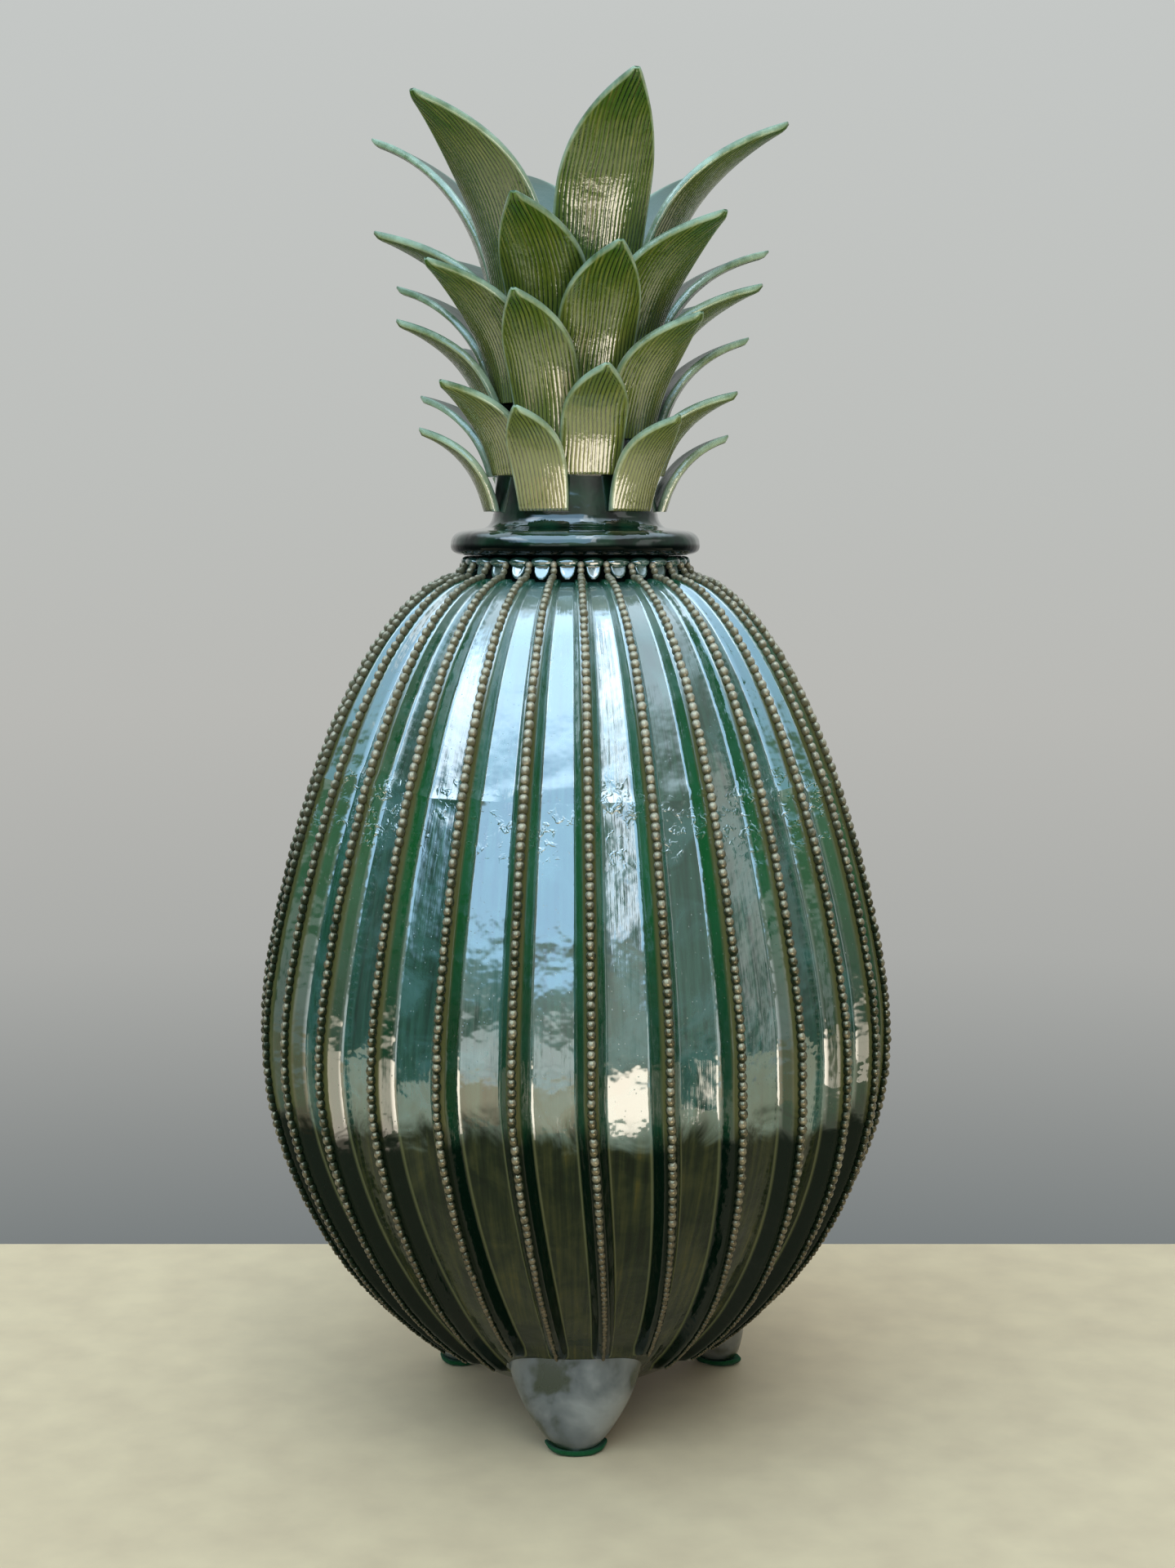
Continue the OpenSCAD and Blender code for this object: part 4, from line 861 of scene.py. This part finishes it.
# Leaf k of tier t: up along the stem, then out to its tip
def leafBlank(t, k):
    turn = math.radians(leaf["turn"] + (t - 1) * leaf["twist"] + ((t - 1) % 2 + 2 * (k - 1)) * 180 / leaf["leaves"])
    uneven = math.sin(math.radians(leaf["varyTurns"][0] * t + leaf["varyTurns"][1] * k))
    vary = leaf["frontRise"] * math.cos(turn) ** 3 - leaf["rightDrop"] * max(0, math.sin(turn)) + leaf["vary"] * uneven
    footZ = lid["stemZ"] + leaf["firstZ"] + (t - 1) * leaf["step"]
    if t <= leaf["shortTiers"]:
        high = vary + leaf["highShort"]
    elif t == leaf["tiers"]:
        high = vary + leaf["highLong"]
    else:
        high = vary + (leaf["highMiddle"] + (t - leaf["shortTiers"] - 1) * leaf["highGain"])
    stemR = lid["stemR"] + (lid["stemTopR"] - lid["stemR"]) * (footZ - lid["stemZ"]) / lid["stemHigh"]
    wide = leaf["wide"] + (t - 1) * leaf["wideGain"]
    start, knee, tip = np.array([[stemR + leaf["seat"], footZ], [stemR + leaf["lean"], footZ + leaf["bend"] * high],
                                 [leaf["reach"] + (t - 1) * leaf["reachGain"], footZ + high]])
    s = np.linspace(0, 1, int(high * leaf["rowSpare"] / leaf["row"]))[:, None]
    line = (1 - s) ** 2 * start + 2 * s * (1 - s) * knee + s * s * tip
    along = (1 - s) * (knee - start) + s * (tip - knee)
    along /= np.hypot(along[:, :1], along[:, 1:])
    # nearly full at the foot, widest below the middle, then to a round tip
    widening = np.sin(math.pi / 2 * np.minimum(s / leaf["widest"], 1))
    narrowing = np.cos(math.pi / 2 * np.maximum(s - leaf["widest"], 0) / (1 - leaf["widest"]))
    blade = np.where(s < leaf["widest"], leaf["footShare"] + (1 - leaf["footShare"]) * widening,
                     leaf["tipShare"] + (1 - leaf["tipShare"]) * narrowing)
    half = blade * wide / 2
    front = np.linspace(-1, 1, int(wide / leaf["column"]))[None, :]
    back = np.linspace(1, -1, leaf["backColumns"])[None, :]
    nearTip = np.clip((s - leaf["tipFrom"]) / leaf["tipOver"], 0, 1)
    thick = leaf["thick"] * (1 - leaf["thin"] * s) * np.sqrt(1 - leaf["tipRound"] * nearTip ** 2)
    edgeThick = thick * (1 - leaf["crown"])
    roll = np.minimum(leaf["edgeThickShare"] * edgeThick, leaf["edgeWideShare"] * half)
    # one ring: over the front, round the right edge, behind, round the left edge
    frontOut = thick * (1 - leaf["crown"] * front ** 2) - leaf["behind"]
    rightEdge = [half + roll * b for b in leaf["edgeOut"]]
    edgeOut = [edgeThick * b - leaf["behind"] for b in leaf["edgeLevel"]]
    edgeSkin = [b + 0 * half for b in leaf["edgeSkin"]]
    edgeRim = [1 + 0 * half] * len(edgeSkin)
    frontRim = np.clip((np.abs(half * front) - half + leaf["rimWide"]) / leaf["rimWide"], 0, 1) ** 2 * leaf["rimShare"]
    sideways = np.concatenate([half * front] + rightEdge + [half * back] + [-e for e in rightEdge[::-1]], axis=1)
    out = np.concatenate([frontOut] + edgeOut + [0 * half * back - leaf["behind"]] + edgeOut[::-1], axis=1)
    skin = np.concatenate([np.ones_like(frontOut)] + edgeSkin + [0 * half * back] + edgeSkin[::-1], axis=1)
    rim = np.concatenate([frontRim] + edgeRim + [np.abs(back) ** leaf["rimBack"] + 0 * half] + edgeRim, axis=1)
    combed = np.clip((half - np.abs(sideways)) / leaf["combedFrom"], 0, 1) * (skin > leaf["edgeSkin"][0])
    r = line[:, :1] + out * along[:, 1:]
    z = np.maximum(line[:, 1:] - out * along[:, :1], footZ)
    rings = turned(0 * r, r * mm, z * mm, turn + sideways / line[:, :1])
    fields = {"sideways": sideways * mm, "along": s + 0 * sideways, "skin": skin, "rim": rim, "combed": combed}
    ends = [rings[0].mean(axis=0), rings[-1].mean(axis=0)]
    return skinRings(f"leaf{t}_{k}", rings, fields, poles=ends, sharpAngle=leaf["sharpAngle"])


# Combs veins into a leaf's front: even lines along it that wander a little and run out at its edges
def veinTree():
    sockets = {"Vein Gap": "Float", "Vein Depth": "Float", "Wander": "Float", "Seed": "Float", "Glaze": "Material"}
    add, given, end = newTree("combVeins", sockets)
    sideways, along, combed, vein = (add("GeometryNodeInputNamedAttribute", {"Name": name}, data_type="FLOAT")
                                     for name in ("sideways", "along", "combed", "vein"))
    place = add("GeometryNodeInputPosition")
    wandering = {"Vector": place, "W": given["Seed"], "Scale": 1 / (leaf["wanderSize"] * mm), "Detail": 1.0}
    noise = add("ShaderNodeTexNoise", wandering, noise_dimensions="4D")
    drift = add("ShaderNodeMath", {0: noise, 1: given["Wander"], 2: sideways}, operation="MULTIPLY_ADD")
    fan = add("ShaderNodeMath", {0: along, 1: leaf["veinFan"][0], 2: leaf["veinFan"][1]}, operation="MULTIPLY_ADD")
    fanned = add("ShaderNodeMath", {0: drift, 1: fan}, operation="MULTIPLY")
    halfGap = add("ShaderNodeMath", {0: given["Vein Gap"], 1: 0.5}, operation="MULTIPLY")
    wave = add("ShaderNodeMath", {0: fanned, 1: halfGap}, operation="PINGPONG")
    share = add("ShaderNodeMath", {0: wave, 1: given["Vein Gap"]}, operation="DIVIDE")
    groove = add("ShaderNodeMapRange", dict(enumerate((share,) + leaf["veinGroove"])), interpolation_type="SMOOTHSTEP")
    blotches = {"Vector": place, "W": given["Seed"], "Scale": 1 / (leaf["patchSize"] * mm)}
    blotch = add("ShaderNodeTexNoise", blotches, noise_dimensions="4D")
    patchy = add("ShaderNodeMapRange", dict(enumerate((blotch,) + leaf["veinPatchy"])))
    onFront = add("ShaderNodeMath", {0: groove, 1: combed}, operation="MULTIPLY")
    cut = add("ShaderNodeMath", {0: onFront, 1: patchy}, operation="MULTIPLY")
    kept = {"Geometry": given["Geometry"], "Name": "vein", "Value": cut}
    marked = add("GeometryNodeStoreNamedAttribute", kept, data_type="FLOAT", domain="POINT")
    depth = add("ShaderNodeMath", {0: vein, 1: given["Vein Depth"]}, operation="MULTIPLY")
    inward = add("ShaderNodeMath", {0: depth, 1: -1.0}, operation="MULTIPLY")
    offset = add("ShaderNodeVectorMath", {0: add("GeometryNodeInputNormal"), "Scale": inward}, operation="SCALE")
    incised = add("GeometryNodeSetPosition", {"Geometry": marked, "Offset": offset})
    return endTree(add, incised, given["Glaze"], end)


combVeins = veinTree()
combing = {"Vein Gap": leaf["veinGap"] * mm, "Vein Depth": leaf["veinDeep"] * mm, "Wander": leaf["veinWander"] * mm, "Glaze": leafGlaze}
for t in range(1, leaf["tiers"] + 1):
    for k in range(1, leaf["leaves"] + 1):
        blade = grow(leafBlank(t, k), combVeins, {**combing, "Seed": float(leaf["seedStep"] * t + k)})
        finishPiece(blade, "lid", "leaf_glaze", f"leaf_{t}_{k}")
print("crown made")
